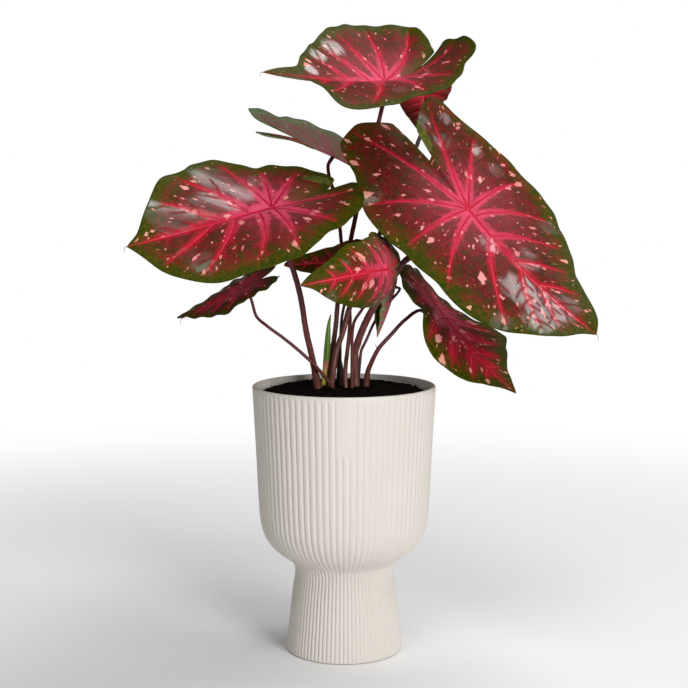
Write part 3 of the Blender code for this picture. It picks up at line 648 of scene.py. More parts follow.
def leaf_noises(paint, field):
    """Return three noises over a blade: wide blotches, patches of a few millimetres, and grain."""
    return (
        paint.noise(field["flat"], 0.10, 4.0, 0.62),
        paint.noise(field["flat"], 0.28, 4.0, 0.7),
        paint.noise(field["flat"], 0.9, 3.0, 0.7),
    )


def leaf_ground(paint, field, noises, look):
    """Mix the field between the veins and the green margin, and return it with the margin's share."""
    blotch, patch, grain = noises
    inward = paint.math("MULTIPLY_ADD", blotch, 22.0, field["edge"])
    inward = paint.math("MULTIPLY_ADD", patch, 10.0, inward)
    green_share = paint.step(inward, look.margin * 0.5 + 14.0, look.margin * 2.0 + 16.0, 1.0, 0.0)
    green = paint.mix(paint.step(patch, 0.35, 0.68), DEEP_GREEN, OLIVE_GREEN)
    maroon = paint.mix(look.dark, MAROON, DARK_MAROON)
    maroon = paint.mix(paint.step(patch, 0.44, 0.58, 0.0, 0.85), maroon, BROWN_OLIVE)
    ground = paint.mix(green_share, maroon, green)
    mottle = paint.math("MULTIPLY", paint.step(grain, 0.50, 0.56), paint.step(blotch, 0.40, 0.60))
    mottle = paint.math("MULTIPLY", mottle, paint.step(field["edge"], 3.0, 11.0, 0.0, 0.85))
    return paint.mix(mottle, ground, RED_GRAIN), green_share


def add_crimson_bands(paint, groups, field, noises, look, ground):
    """Lay torn crimson bands along the veins and pink round the joint; also return the pink's reach."""
    blotch, patch, grain = noises
    tear = paint.math("MULTIPLY_ADD", grain, 0.35, paint.math("MULTIPLY", patch, 0.65))
    half = paint.math("MULTIPLY", field["rib_width"], 2.5 * look.spread)
    band = paint.group(groups["band"], distance=field["rib"], half=half, tear=tear)
    thin = paint.math("MULTIPLY", field["branch_width"], 2.0 * look.spread)
    twig = paint.group(groups["band"], distance=field["branch"], half=thin, tear=tear)
    wide = paint.math("MULTIPLY", half, 3.0)
    near_rib = paint.group(groups["spread"], distance=field["rib"], reach=wide, raggedness=1.0)
    twig = paint.math("MULTIPLY", twig.outputs[0], paint.math("MULTIPLY", near_rib.outputs[0], 0.45))
    red_share = paint.math("MAXIMUM", band.outputs[0], twig, clamp=True)
    margin_fade = paint.step(field["edge"], 2.0, 16.0, 0.2, 0.95)
    fade = paint.math("MULTIPLY", margin_fade, paint.step(blotch, 0.34, 0.56, 0.55, 1.0))
    red_share = paint.math("MULTIPLY", red_share, fade)
    ground = paint.mix(red_share, ground, CRIMSON)

    nearness = paint.math("MULTIPLY_ADD", patch, 0.24, field["reach"])
    centre = paint.step(nearness, 0.16, 0.60, look.glow, 0.0)
    pink_share = paint.math("MULTIPLY", centre, paint.math("MULTIPLY_ADD", red_share, 0.75, 0.25))
    return paint.mix(pink_share, ground, CENTRE_PINK), centre


def add_flecks(paint, groups, field, look, green_share, ground):
    """Scatter large and small flecks, which are creamier on the green margin."""
    amount = paint.step(field["reach"], 0.05, 0.3, 0.0, look.flecks)
    amount = paint.math("MULTIPLY", amount, paint.step(field["edge"], 1.5, 6.0))
    fewer = paint.math("MULTIPLY", amount, 0.45)
    flecks = paint.group(groups["flecks"], vector=field["along"], amount=amount, size=0.12)
    crumbs = paint.group(groups["flecks"], vector=field["along"], amount=fewer, size=0.36)
    tone = paint.mix(flecks.outputs["Tone"], SALMON, PALE_SALMON)
    tone = paint.mix(paint.math("MULTIPLY", green_share, 0.35), tone, CREAM)
    marked = paint.math("MAXIMUM", flecks.outputs["Mask"], crumbs.outputs["Mask"])
    return paint.mix(marked, ground, tone)


def add_vein_lines(paint, groups, field, centre, ground):
    """Draw the veins themselves: red, with a pale ridge far from the joint and a dark groove near it."""
    width = paint.math("MULTIPLY", field["rib_width"], 0.7)
    core = paint.group(groups["line"], distance=field["rib"], width=width, softness=0.6)
    core_share = paint.math("MULTIPLY", core.outputs[0], paint.step(field["rib_width"], 0.35, 0.9, 0.0, 0.9))
    ground = paint.mix(core_share, ground, VEIN_RED)
    ridge = paint.group(groups["line"], distance=field["rib"], width=0.3, softness=0.35)
    far = paint.math("MULTIPLY_ADD", centre, -0.9, 1.0, clamp=True)
    pale_ridge = paint.math("MULTIPLY", ridge.outputs[0], paint.math("MULTIPLY", far, 0.4))
    ground = paint.mix(paint.math("MULTIPLY", pale_ridge, core_share), ground, RIDGE_PINK)
    return paint.mix(paint.math("MULTIPLY", ridge.outputs[0], centre), ground, GROOVE_RED)


def add_rolled_margin(paint, field, patch, ground):
    """Show the pale underside where the margin rolls over."""
    torn = paint.math("MULTIPLY_ADD", patch, 0.5, field["turned"])
    rolled = paint.mix(paint.step(patch, 0.4, 0.6), ROLLED_GREEN, ROLLED_YELLOW)
    return paint.mix(paint.step(torn, 0.62, 0.72), ground, rolled)


def leaf_gloss(paint, field):
    """Return how strongly the wax shines: in streaks, between the smaller veins."""
    streak = paint.noise(paint.scaled(field["along"], (0.25, 0.7, 1.0)), 0.35, 2.0)
    shine = paint.math("MULTIPLY", field["shine"], paint.math("MULTIPLY_ADD", streak, 1.6, 0.2))
    between = paint.step(paint.math("ABSOLUTE", field["branch"]), 0.3, 2.4, 0.15, 1.0)
    return paint.math("MULTIPLY", paint.step(shine, 0.22, 0.75), between)


def paint_leaf_top(groups, name, look):
    """A blade's upper face: crimson veins on maroon, a green margin, and salmon flecks."""
    material, paint, shader = new_material(name)
    field = leaf_fields(paint)
    noises = leaf_noises(paint, field)
    patch = noises[1]
    ground, green_share = leaf_ground(paint, field, noises, look)
    ground, centre = add_crimson_bands(paint, groups, field, noises, look, ground)
    ground = add_flecks(paint, groups, field, look, green_share, ground)
    ground = add_vein_lines(paint, groups, field, centre, ground)
    ground = add_rolled_margin(paint, field, patch, ground)
    paint.feed(shader.inputs["Base Color"], ground)
    paint.feed(shader.inputs["Coat Weight"], leaf_gloss(paint, field))
    paint.feed(shader.inputs["Coat Roughness"], 0.27)
    paint.feed(shader.inputs["Specular IOR Level"], 0.03)
    paint.feed(shader.inputs["Roughness"], paint.math("MULTIPLY_ADD", patch, 0.1, 0.4))
    leaf_relief(paint, groups, field, shader, -1.0)
    return material


def paint_leaf_back(groups, name):
    """A blade's underside: grey-green with pink veins that stand out, and faint pink flecks."""
    material, paint, shader = new_material(name)
    field = leaf_fields(paint)
    blotch = paint.noise(field["flat"], 0.1, 4.0, 0.6)
    patch = paint.noise(field["flat"], 0.3, 4.0, 0.7)
    ground = paint.mix(blotch, BACK_GREEN, BACK_GREY_GREEN)
    inward = paint.step(paint.math("MULTIPLY_ADD", patch, 14.0, field["edge"]), 11.0, 22.0, 0.0, 0.6)
    ground = paint.mix(inward, ground, BACK_BROWN)
    mottle = paint.math("MULTIPLY", paint.step(patch, 0.50, 0.58, 0.0, 0.6), inward)
    ground = paint.mix(mottle, ground, BACK_BLOTCH)
    ragged = paint.math("MULTIPLY_ADD", blotch, 1.0, 0.5)
    reach = paint.math("MULTIPLY", field["rib_width"], 3.0)
    halo = paint.group(groups["spread"], distance=field["rib"], reach=reach, raggedness=ragged)
    ground = paint.mix(paint.math("MULTIPLY", halo.outputs[0], 0.8), ground, BACK_GLOW)
    flecks = paint.group(groups["flecks"], vector=field["along"], amount=0.4, size=0.17)
    ground = paint.mix(paint.math("MULTIPLY", flecks.outputs["Mask"], 0.7), ground, BACK_FLECK)
    core = paint.group(groups["line"], distance=field["rib"], width=field["rib_width"], softness=0.4)
    ground = paint.mix(core.outputs[0], ground, BACK_VEIN)
    paint.feed(shader.inputs["Base Color"], ground)
    paint.feed(shader.inputs["Specular IOR Level"], 0.2)
    paint.feed(shader.inputs["Roughness"], paint.math("MULTIPLY_ADD", blotch, 0.1, 0.5))
    leaf_relief(paint, groups, field, shader, 1.0)
    return material


# Blade form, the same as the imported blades'
def blade_axes(leaf):
    """Return a blade's own directions: along its midrib, to its left, and up from its face."""
    yaw, dip, roll = (math.radians(angle) for angle in (leaf.yaw, leaf.dip, leaf.roll))
    along = np.array((math.cos(yaw) * math.cos(dip), math.sin(yaw) * math.cos(dip), -math.sin(dip)))
    level_up = unit(np.array((0, 0, 1)) + along * math.sin(dip))
    level_left = np.cross(level_up, along)
    up = level_up * math.cos(roll) - level_left * math.sin(roll)
    left = level_left * math.cos(roll) + level_up * math.sin(roll)
    return along, left, up


def bend(distance, turn_per_mm, start=0.0):
    """Bend a straight distance into an arc, and return how far it goes across and up."""
    turn = np.where(np.abs(turn_per_mm) > LEAST_TURN, turn_per_mm, LEAST_TURN)
    across = (np.sin(start) - np.sin(start - turn * distance)) / turn
    up = (np.cos(start - turn * distance) - np.cos(start)) / turn
    return across, up


def shaped(leaf, forward, sideways, relief):
    """Return where points of the flat blade lie on the shaped one, from its joint."""
    on_left = sideways > 0

    def side(pair):
        return np.where(on_left, pair[0], pair[1])

    curl = np.radians(side(leaf.curls)) / (0.5 * leaf.length * leaf.width)
    across, up = bend(np.abs(sideways), curl, np.radians(side(leaf.folds)))
    across = np.copysign(across, sideways)
    reach = np.hypot(forward, sideways) / leaf.length
    phase = WAVES_ROUND * np.arctan2(sideways, forward) + math.radians(leaf.wave_phase)
    up = up + leaf.wave * reach * np.sin(phase) + relief
    droop = np.where(forward >= 0, leaf.droop, side(leaf.lobe_droops) / LOBE_SHARE)
    turn = np.radians(droop) / leaf.length
    run, fall = bend(forward, turn)
    twist = math.radians(leaf.twist) * forward / leaf.length
    left = across * np.cos(twist) - up * np.sin(twist)
    rise = across * np.sin(twist) + up * np.cos(twist)
    sway = np.radians(np.where(forward >= 0, leaf.sway, leaf.lobe_sway))
    left = left + sway * forward * np.abs(forward) / (2 * leaf.length)
    lean = turn * forward
    return np.stack([run + rise * np.sin(lean), left, fall + rise * np.cos(lean)], -1)


def edge_readers(leaf):
    """Return the readers of the margin's distance on the left and on the right."""
    return [smooth_reader(tuple(zip(EDGE_ANGLES, edge))) for edge in (leaf.left_edge, leaf.right_edge)]


def flat_place(leaf, angle, share):
    """Return the flat place at angles from the midrib and shares of the way to the edge."""
    left, right = edge_readers(leaf)
    angle = np.asarray(angle, float)
    radius = np.where(angle >= 0, left(np.abs(angle)), right(np.abs(angle))) * share * leaf.length
    turn = np.radians(angle)
    forward = radius * np.cos(turn)
    stretch = np.where(forward < 0, leaf.lobe_length, 1.0)
    return forward * stretch, radius * np.sin(turn) * leaf.width


def spoke_angles(leaf):
    """Return angles round the joint that cut the margin into equal steps."""
    fine = np.linspace(-180, 180, 2881)
    forward, sideways = flat_place(leaf, fine, 1.0)
    runs = np.concatenate([[0], np.cumsum(np.hypot(np.diff(forward), np.diff(sideways)))])
    count = int(runs[-1] / GRID_STEP)
    return np.interp(np.linspace(0, runs[-1], count, endpoint=False), runs, fine)


def curve_points(start, middle, end, count=9):
    """Return points along a curve that leaves its start towards the middle point."""
    t = np.linspace(0, 1, count)[:, None]
    start, middle, end = (np.asarray(point, float) for point in (start, middle, end))
    return (1 - t) ** 2 * start + 2 * t * (1 - t) * middle + t * t * end


def main_veins(leaf):
    """Return the midrib and side veins as (points, width at the start, width at the end)."""
    tip = np.array(flat_place(leaf, 0.0, 0.99))
    veins = [(curve_points((0, 0), tip / 2, tip, 17), 2.1, 0.5)]
    for start, angle, share in (*leaf.left_veins, *leaf.right_veins):
        root = tip * start
        end = np.array(flat_place(leaf, angle, share))
        veins.append(side_vein(root, end, start))
    return veins


def side_vein(root, end, start):
    """Return one side vein, which leaves steeply and bends towards the tip."""
    middle = (root + end) / 2
    size = float(np.linalg.norm(end - root))
    lean = 0.16 if start > 0 else 0.05
    middle = middle - np.array((size * lean, 0.0))
    return curve_points(root, middle, end, 13), 1.6 - 0.7 * start, 0.3


def mirrored(veins):
    """Return the same side veins on the other side of the midrib."""
    return tuple((start, -angle, share) for start, angle, share in veins)


def branch_veins(veins, rng):
    """Return the smaller veins that fork off the main ones towards the margin."""
    branches = []
    for points, width, _ in veins:
        runs = np.concatenate([[0], np.cumsum(np.linalg.norm(np.diff(points, axis=0), axis=1))])
        total = runs[-1]
        place = BRANCH_STEP * (0.8 + 0.4 * rng.random())
        side = 1 if rng.random() < 0.5 else -1
        while place < total - 3:
            at = np.array([np.interp(place, runs, points[:, axis]) for axis in (0, 1)])
            ahead = np.array([np.interp(place + 1, runs, points[:, axis]) for axis in (0, 1)])
            heading = math.atan2(*(ahead - at)[::-1])
            turn = side * BRANCH_ANGLE * (0.85 + 0.3 * rng.random())
            size = BRANCH_LENGTH * (0.7 + 0.5 * rng.random()) * min(1.0, 0.35 + place / 45)
            first = heading + turn
            last = heading + turn * 0.45
            middle = at + size * 0.5 * np.array((math.cos(first), math.sin(first)))
            end = middle + size * 0.5 * np.array((math.cos(last), math.sin(last)))
            branches.append((curve_points(at, middle, end, 6), 0.75 * width / 1.6 + 0.2, 0.1))
            place += BRANCH_STEP * (0.5 + 0.6 * rng.random())
            side = -side
    return branches


def distances(places, veins, reach=None):
    """Return each vein's signed distance, width and run at each place, one row a vein.

    With a reach, places further than that from a vein's own box are left at the reach.
    """
    count = len(places)
    signed = np.full((len(veins), count), reach or 0.0, np.float32)
    widths = np.zeros((len(veins), count), np.float32)
    runs = np.zeros((len(veins), count), np.float32)
    for row, (points, start_width, end_width) in enumerate(veins):
        near = np.arange(count)
        if reach:
            inside = (places > points.min(axis=0) - reach) & (places < points.max(axis=0) + reach)
            near = np.flatnonzero(inside.all(axis=1))
        gap, run, total = vein_distance(places[near], points)
        signed[row, near] = gap
        runs[row, near] = run
        share = np.clip(run / total, 0, 1)
        widths[row, near] = start_width + (end_width - start_width) * share
    return signed, widths, runs


def vein_distance(places, points):
    """Return the signed distance to one vein and the run along it, which goes on past its end."""
    steps = np.diff(points, axis=0)
    lengths = np.linalg.norm(steps, axis=1)
    before = np.concatenate([[0], np.cumsum(lengths)])
    best = np.full(len(places), np.inf)
    sign = np.ones(len(places))
    run = np.zeros(len(places))
    for index, (start, step) in enumerate(zip(points[:-1], steps)):
        offset = places - start
        free = offset @ step / lengths[index] ** 2
        t = np.clip(free, 0, 1)
        gap = np.hypot(offset[:, 0] - t * step[0], offset[:, 1] - t * step[1])
        closer = gap < best
        side = step[0] * offset[:, 1] - step[1] * offset[:, 0]
        last = index == len(steps) - 1
        best = np.where(closer, gap, best)
        sign = np.where(closer, np.where(side < 0, -1.0, 1.0), sign)
        run = np.where(closer, before[index] + (np.maximum(free, 0) if last else t) * lengths[index], run)
    return best * sign, run, before[-1]


def nearest_on_corners(faces, measured):
    """Return the fields of the vein nearest each face, at the face's own corners."""
    signed, widths, runs = measured
    nearest = np.abs(signed).argmin(axis=0)
    count = len(nearest)
    corners = np.concatenate([face.ravel() for face in faces]) % count
    picked = np.concatenate([np.repeat(nearest[face[:, 0] % count], face.shape[1]) for face in faces])
    return signed[picked, corners], widths[picked, corners], runs[picked, corners], picked


def grid_faces(rows, columns):
    """Return the quads of rings round a middle point, and the triangles next to it."""
    index = np.arange(rows * columns).reshape(rows, columns) + 1
    after = np.roll(index, -1, axis=1)
    quads = np.stack([index[:-1], index[1:], after[1:], after[:-1]], -1).reshape(-1, 4)
    fan = np.stack([np.zeros(columns, int), index[0], after[0]], -1)
    return quads, fan


def blade_grid(leaf, angles):
    """Return the flat blade's grid: shares of the way out, ring by ring, and the places themselves."""
    first, second = INNERMOST_SHARES
    rows = max(12, int(leaf.length * 0.62 / GRID_STEP / 1.1))
    shares = np.concatenate([[first], np.linspace(second, 1.0, rows - 1)])
    forward, sideways = flat_place(leaf, angles[None, :], shares[:, None])
    forward = np.concatenate([[0.0], forward.ravel()])
    sideways = np.concatenate([[0.0], sideways.ravel()])
    return shares, forward, sideways


def blade_relief(angles, shares, share, reach, vein_gap):
    """Return how high each place stands: swelling between the veins, and ruffled at the margin."""
    swell = SWELL_HEIGHT * (1 - np.exp(-vein_gap / SWELL_REACH)) * np.minimum(reach / SWELL_START, 1)
    around = np.radians(np.concatenate([[0], np.tile(angles, len(shares))]))
    return swell + RUFFLE_HEIGHT * share ** 4 * np.sin(around * RUFFLE_TURNS)


def blade_sheet(leaf, forward, sideways, relief, share):
    """Return the points of the upper face followed by those of the lower face."""
    upper = shaped(leaf, forward, sideways, relief)
    ahead = shaped(leaf, forward + NORMAL_STEP, sideways, relief) - upper
    left = shaped(leaf, forward, sideways + NORMAL_STEP, relief) - upper
    normal = unit(np.cross(ahead, left))
    depth = BLADE_THICKNESS + (EDGE_THICKNESS - BLADE_THICKNESS) * share ** 3
    lower = upper - normal * depth[:, None]
    axes = np.array(blade_axes(leaf))
    return np.concatenate([upper @ axes, lower @ axes]) + np.array(leaf.joint)


def sheet_faces(rows, columns):
    """Return a sheet's faces in five groups: upper quads and fan, lower quads and fan, and margin."""
    quads, fan = grid_faces(rows, columns)
    count = rows * columns + 1
    outer = np.arange(count - columns, count)
    after = np.roll(outer, -1)
    margin = np.stack([outer, outer + count, after + count, after], -1)
    return [quads, fan, quads[:, ::-1] + count, fan[:, ::-1] + count, margin]


def build_blade(leaf, materials):
    """Build one blade as a thin closed sheet that carries its vein fields."""
    rng = random.Random(leaf.name)
    angles = spoke_angles(leaf)
    shares, forward, sideways = blade_grid(leaf, angles)
    places = np.stack([forward, sideways], -1)
    share = np.concatenate([[0.0], np.repeat(shares, len(angles))])
    edge = edge_distance(places, places[-len(angles):])
    veins = main_veins(leaf)
    measured = distances(places, veins)
    reach = np.hypot(forward, sideways) / leaf.length
    relief = blade_relief(angles, shares, share, reach, np.abs(measured[0]).min(axis=0))
    faces = sheet_faces(len(shares), len(angles))
    piece = new_piece(
        "leaf_" + leaf.name, blade_sheet(leaf, forward, sideways, relief, share),
        [face.tolist() for group in faces for face in group],
        node="blade_" + leaf.name)

    fields = nearest_on_corners(faces, measured)
    branches = distances(places, branch_veins(veins, rng), BRANCH_REACH)
    side_fields = nearest_on_corners(faces, branches)
    along = np.stack([fields[2] * FLECK_STRETCH, fields[0], fields[3] * VEIN_OFFSET], -1)
    set_values(piece, "rib", fields[0], "CORNER")
    set_values(piece, "rib_width", fields[1], "CORNER")
    set_values(piece, "along", along, "CORNER")
    set_values(piece, "branch", side_fields[0], "CORNER")
    set_values(piece, "branch_width", side_fields[1], "CORNER")

    shine = spot_share(leaf.shine, forward, sideways)
    offset = LEAF_OFFSET * [other.name for other in LEAVES].index(leaf.name)
    for name, upper, lower in (
        ("edge", edge + leaf.look.lobe_red * np.clip(-forward / LOBE_BLEND, 0, 1), None),
        ("reach", reach, None),
        ("shine", shine, shine * 0),
        ("turned", spot_share(leaf.turned, forward, sideways), None),
        ("flat", np.stack([forward + offset, sideways, np.zeros(len(places))], -1), None),
    ):
        set_values(piece, name, np.concatenate([upper, upper if lower is None else lower]))
    for material in materials:
        piece.data.materials.append(material)
    sides = [np.full(len(group), index in (2, 3), int) for index, group in enumerate(faces)]
    piece.data.polygons.foreach_set("material_index", np.concatenate(sides))
    return piece


def spot_share(spots, forward, sideways):
    """Return how far each place of the blade lies inside one of some soft spots."""
    share = np.zeros(len(forward))
    for along, left, radius in spots:
        away = np.hypot(forward - along, sideways - left) / radius
        share = share + np.exp(-away ** 2)
    return np.minimum(share, 1)


def edge_distance(places, rim):
    """Return each place's distance to the margin."""
    nearest = np.full(len(places), np.inf)
    for start in range(0, len(rim), 4):
        nearest = np.minimum(nearest, np.hypot(*(places - rim[start]).T))
    return nearest


def read_route(points, shares):
    """Read a smooth curve through points at shares of its length."""
    points = np.asarray(points, float)
    runs = np.concatenate([[0], np.cumsum(np.linalg.norm(np.diff(points, axis=0), axis=1))])
    lines = [smooth_reader(tuple(zip(runs, line)))(shares * runs[-1]) for line in points.T]
    return np.stack(lines, -1), runs[-1]


def build_tube(name, route, radius_at, node, material, bumps=0.0):
    """Build a closed round stalk along a route, with its run stored for its colour."""
    total = read_route(route, np.array([0.0]))[1]
    count = max(8, int(total / STALK_STEP))
    shares = np.linspace(0, 1, count + 1)
    centres, _ = read_route(route, shares)
    points = []
    side = np.array((1.0, 0.0, 0.0))
    for index, centre in enumerate(centres):
        along = unit(centres[min(index + 1, count)] - centres[max(index - 1, 0)])
        side = unit(side - along * (side @ along))
        across = np.cross(along, side)
        for turn in np.arange(STALK_SIDES) * 2 * math.pi / STALK_SIDES:
            ray = side * math.cos(turn) + across * math.sin(turn)
            size = radius_at(shares[index], centre[2], turn)
            if bumps:
                size *= 1 + bumps * noise.noise(Vector((centre + ray * size) * 0.25))
            points.append(centre + ray * size)
    faces = []
    for row in range(count):
        for column in range(STALK_SIDES):
            after = (column + 1) % STALK_SIDES
            low = row * STALK_SIDES
            faces.append((low + column, low + after, low + STALK_SIDES + after, low + STALK_SIDES + column))
    faces.append(tuple(reversed(range(STALK_SIDES))))
    faces.append(tuple(range(count * STALK_SIDES, (count + 1) * STALK_SIDES)))
    piece = new_piece(name, points, faces, node=node)
    set_values(piece, "run", np.repeat(shares, STALK_SIDES))
    piece.data.materials.append(material)
    return piece


def stalk_route(leaf):
    """Return a stalk's whole route, which ends inside its blade's middle."""
    up = blade_axes(leaf)[2]
    joint = np.array(leaf.joint, float)
    return [*leaf.route, joint - up * leaf.approach, joint - up * BLADE_THICKNESS / 2]


def build_stalk(leaf, material):
    """Build one leaf stalk, with its sheath at the foot and a small flare under the blade."""
    def radius(share, height, turn):
        plain = leaf.foot_radius + (leaf.top_radius - leaf.foot_radius) * share
        sheath = leaf.sheath * math.exp(-max(height - SHEATH_FOOT, 0) / SHEATH_FALL)
        flare = FLARE * max(0.0, (share - FLARE_START) / (1 - FLARE_START))
        return plain * (1 + sheath + flare)

    return build_tube(
        "stem_" + leaf.name, stalk_route(leaf), radius, "stalk_" + leaf.name, material,
        STALK_BUMPS)


def build_hair(leaf, material):
    """Build the fine dry thread that a blade's tip ends in."""
    share = 0.995
    forward = flat_place(leaf, 0.0, share)[0]
    flat = shaped(leaf, np.array([forward - 2, forward]), np.array([1e-3, 1e-3]), 0.0)
    tip = flat @ np.array(blade_axes(leaf)) + np.array(leaf.joint)
    ahead = unit(tip[1] - tip[0])
    down = np.array((0.0, 0.0, -1.0))
    route = [tip[0], tip[1], tip[1] + ahead * 2.0 + down * 0.6, tip[1] + ahead * 2.6 + down * HAIR_LENGTH]
    build_thread("tip_thread_" + leaf.name, route, 0.3, 0.06, material)


def build_thread(name, route, foot_radius, top_radius, material):
    """Build a thin tapering thread along a route."""
    def radius(share, height, turn):
        return foot_radius + (top_radius - foot_radius) * share

    return build_tube(name, route, radius, None, material)


def build_spear(material):
    """Build the youngest leaf, still rolled, with its overlapping edge as a spiral step."""
    reader = smooth_reader(SPEAR_RADII)

    def radius(share, height, turn):
        wound = ((turn - 3.2 * share) / (2 * math.pi)) % 1.0
        return float(reader(share)) * (0.9 + 0.16 * wound)

    return build_tube("young_leaf", SPEAR_ROUTE, radius, "spear", material, 0.03)


def build_sheath(material):
    """Build the dried foot of an old leaf, rolled and creased, among the stalks; its near-black skin also
    stands in as painted shade between them.
    """
    reader = smooth_reader(SHEATH_RADII)

    def radius(share, height, turn):
        crease = 0.1 * math.sin(3 * turn + 4 * share) + 0.05 * math.sin(7 * turn)
        return float(reader(share)) * (1.05 + crease)

    return build_tube("old_sheath", SHEATH_ROUTE, radius, "sheath", material, 0.12)


def rib_shape(turn, height):
    """Return how far the pot's wall lies in at a turn and height because of its ribs."""
    pitch = 2 * math.pi / RIB_COUNT
    from_front = (turn + math.pi) % (2 * math.pi) - math.pi
    phase = np.abs((from_front / pitch + 0.5) % 1.0 - 0.5) * 2
    valley = RIB_DEPTH * phase ** RIB_ROUNDNESS
    in_band = np.abs(from_front) < pitch * BAND_RIBS / 2
    fade = np.clip((height - BAND_FOOT) / BAND_FADE, 0, 1) * in_band
    valley = valley * (1 - fade) + 0.12 * fade
    top_fade = np.clip((RIM_TOP - 2.6 - height) / RIM_FADE, 0, 1)
    foot_fade = np.clip(height / FOOT_ROUND, 0, 1)
    return valley * top_fade * foot_fade


def pot_rings():
    """Return the pot's rings as (height, radius, kind), from under the foot to inside."""
    outer = smooth_reader(POT_OUTLINE)
    rings = []
    for step in range(5):
        turn = math.pi / 2 * step / 4
        rings.append((
            FOOT_ROUND * (1 - math.cos(turn)), 44.4 - FOOT_ROUND + FOOT_ROUND * math.sin(turn), "outer"))
    for height in np.linspace(3.4, RIM_TOP - 2.8, 92):
        rings.append((height, float(outer(height)), "outer"))
    rim_radius = float(outer(201.2))
    half_wall = POT_WALL / 2 - 0.2
    for step in range(1, 10):
        turn = math.pi * step / 9
        rings.append((
            RIM_TOP - half_wall + half_wall * math.sin(turn) * 1.0,
            rim_radius - half_wall + half_wall * math.cos(turn), "rim"))
    for height in np.linspace(RIM_TOP - 3, INNER_FOOT, 14):
        rings.append((height, float(outer(height)) - POT_WALL, "inner"))
    return rings


def build_pot(material):
    """Build the ribbed pot: foot edge, ribbed wall, round rim and inner wall."""
    turns = np.arange(RIB_COUNT * RIB_COLUMNS) * 2 * math.pi / (RIB_COUNT * RIB_COLUMNS)
    rows = []
    for height, radius, kind in pot_rings():
        if kind == "outer":
            reach = radius - rib_shape(turns, height)
        elif kind == "inner":
            reach = radius - INNER_RIB_DEPTH * 0.5 * (1 + np.cos(turns * RIB_COUNT))
        else:
            reach = np.full(len(turns), radius)
        angle = turns + FRONT
        rows.append(np.stack([reach * np.cos(angle), reach * np.sin(angle), np.full(len(turns), height)], -1))
    points = np.concatenate([[[0, 0, 0.0]], np.concatenate(rows), [[0, 0, INNER_FOOT]]])
    quads, fan = grid_faces(len(rows), len(turns))
    last = len(points) - 1
    ring = last_ring(len(rows), len(turns))
    inner_fan = np.stack([np.full(len(turns), last), np.roll(ring, -1), ring], -1)
    faces = quads[:, ::-1].tolist() + fan[:, ::-1].tolist() + inner_fan[:, ::-1].tolist()
    piece = new_piece("ribbed_pot", points, faces, node="pot")
    piece.data.materials.append(material)
    return piece


def last_ring(rows, columns):
    """Return the point numbers of the last ring of a grid."""
    return np.arange((rows - 1) * columns, rows * columns) + 1


def soil_height(x, y):
    """Return the soil's height at a place without its lumps: lower at the two sides."""
    share = min(math.hypot(x, y) / SOIL_RADIUS, 1)
    side = SOIL_SIDE_FALL * share ** 6 * (x / SOIL_RADIUS) ** 2
    return SOIL_EDGE - side + SOIL_MOUND * (1 - share ** 2)


def build_soil_crumbs(material):
    """Scatter small rough clods over the soil, joined into one piece."""
    rng = random.Random(7)
    points, faces = [], []
    template, template_faces = clod()
    for _ in range(CRUMB_COUNT):
        turn = rng.uniform(0, 2 * math.pi)
        out = SOIL_RADIUS * math.sqrt(rng.random()) * 0.99
        x, y = out * math.cos(turn), out * math.sin(turn)
        size = rng.uniform(*CRUMB_SIZES) * (1.5 if rng.random() < 0.08 else 1.0)
        centre = np.array((x, y, soil_height(x, y) + 0.35 * size))
        squash = np.array((rng.uniform(0.7, 1.3), rng.uniform(0.7, 1.3), rng.uniform(0.6, 1.0)))
        base = len(points)
        for corner in template:
            rough = 1 + 0.35 * (rng.random() - 0.5)
            points.append(centre + corner * squash * size * rough)
        faces.extend(tuple(base + index for index in face) for face in template_faces)
    piece = new_piece("soil_crumbs", points, faces, smooth=False)
    piece.data.materials.append(material)
    return piece


def clod():
    """Return the points and faces of a small twenty-sided ball."""
    ball = bmesh.new()
    bmesh.ops.create_icosphere(ball, subdivisions=1, radius=1.0)
    ball.verts.ensure_lookup_table()
    points = [np.array(vert.co) for vert in ball.verts]
    faces = [tuple(vert.index for vert in face.verts) for face in ball.faces]
    ball.free()
    return points, faces


def build_soil_top(material):
    """Build the soil's crumbly surface over the packed soil."""
    shares = np.concatenate([[0.01], np.linspace(0.02, 1, SOIL_ROWS - 1)])
    turns = np.arange(SOIL_COLUMNS) * 2 * math.pi / SOIL_COLUMNS
    points = [(0.0, 0.0, SOIL_EDGE + SOIL_MOUND + 0.5)]
    for share in shares:
        for turn in turns:
            x, y = SOIL_RADIUS * share * math.cos(turn), SOIL_RADIUS * share * math.sin(turn)
            lumps = [noise.noise(Vector((x, y, layer)) * size) * height for size, layer, height in SOIL_LUMPS]
            points.append((x, y, soil_height(x, y) + 0.35 + sum(lumps)))
    for x, y, height in points[-SOIL_COLUMNS:]:
        points.append((x, y, height - SOIL_SKIRT))
    quads, fan = grid_faces(SOIL_ROWS + 1, SOIL_COLUMNS)
    piece = new_piece("soil_top", points, quads.tolist() + fan.tolist(), node="soil")
    piece.data.materials.append(material)
    return piece


def paint_pot():
    """Matt greige plastic with a fine grain and a slight change of tone up the wall."""
    material, paint, shader = new_material("greige_plastic")
    place = millimetres(paint)
    drift = paint.noise(paint.scaled(place, (1, 1, 0.3)), 0.03, 3.0)
    grain = paint.noise(place, 2.2, 2.0)
    colour = paint.mix(drift, (0.60, 0.555, 0.505), (0.66, 0.615, 0.565))
    speck = paint.step(paint.noise(place, 1.1, 2.0), 0.68, 0.74)
    colour = paint.mix(paint.math("MULTIPLY", speck, 0.12), colour, (0.45, 0.41, 0.37))
    paint.feed(shader.inputs["Base Color"], colour)
    paint.feed(shader.inputs["Roughness"], paint.math("MULTIPLY_ADD", grain, 0.12, 0.52))
    paint.feed(shader.inputs["Normal"], paint.bump(grain, 0.05))
    return material


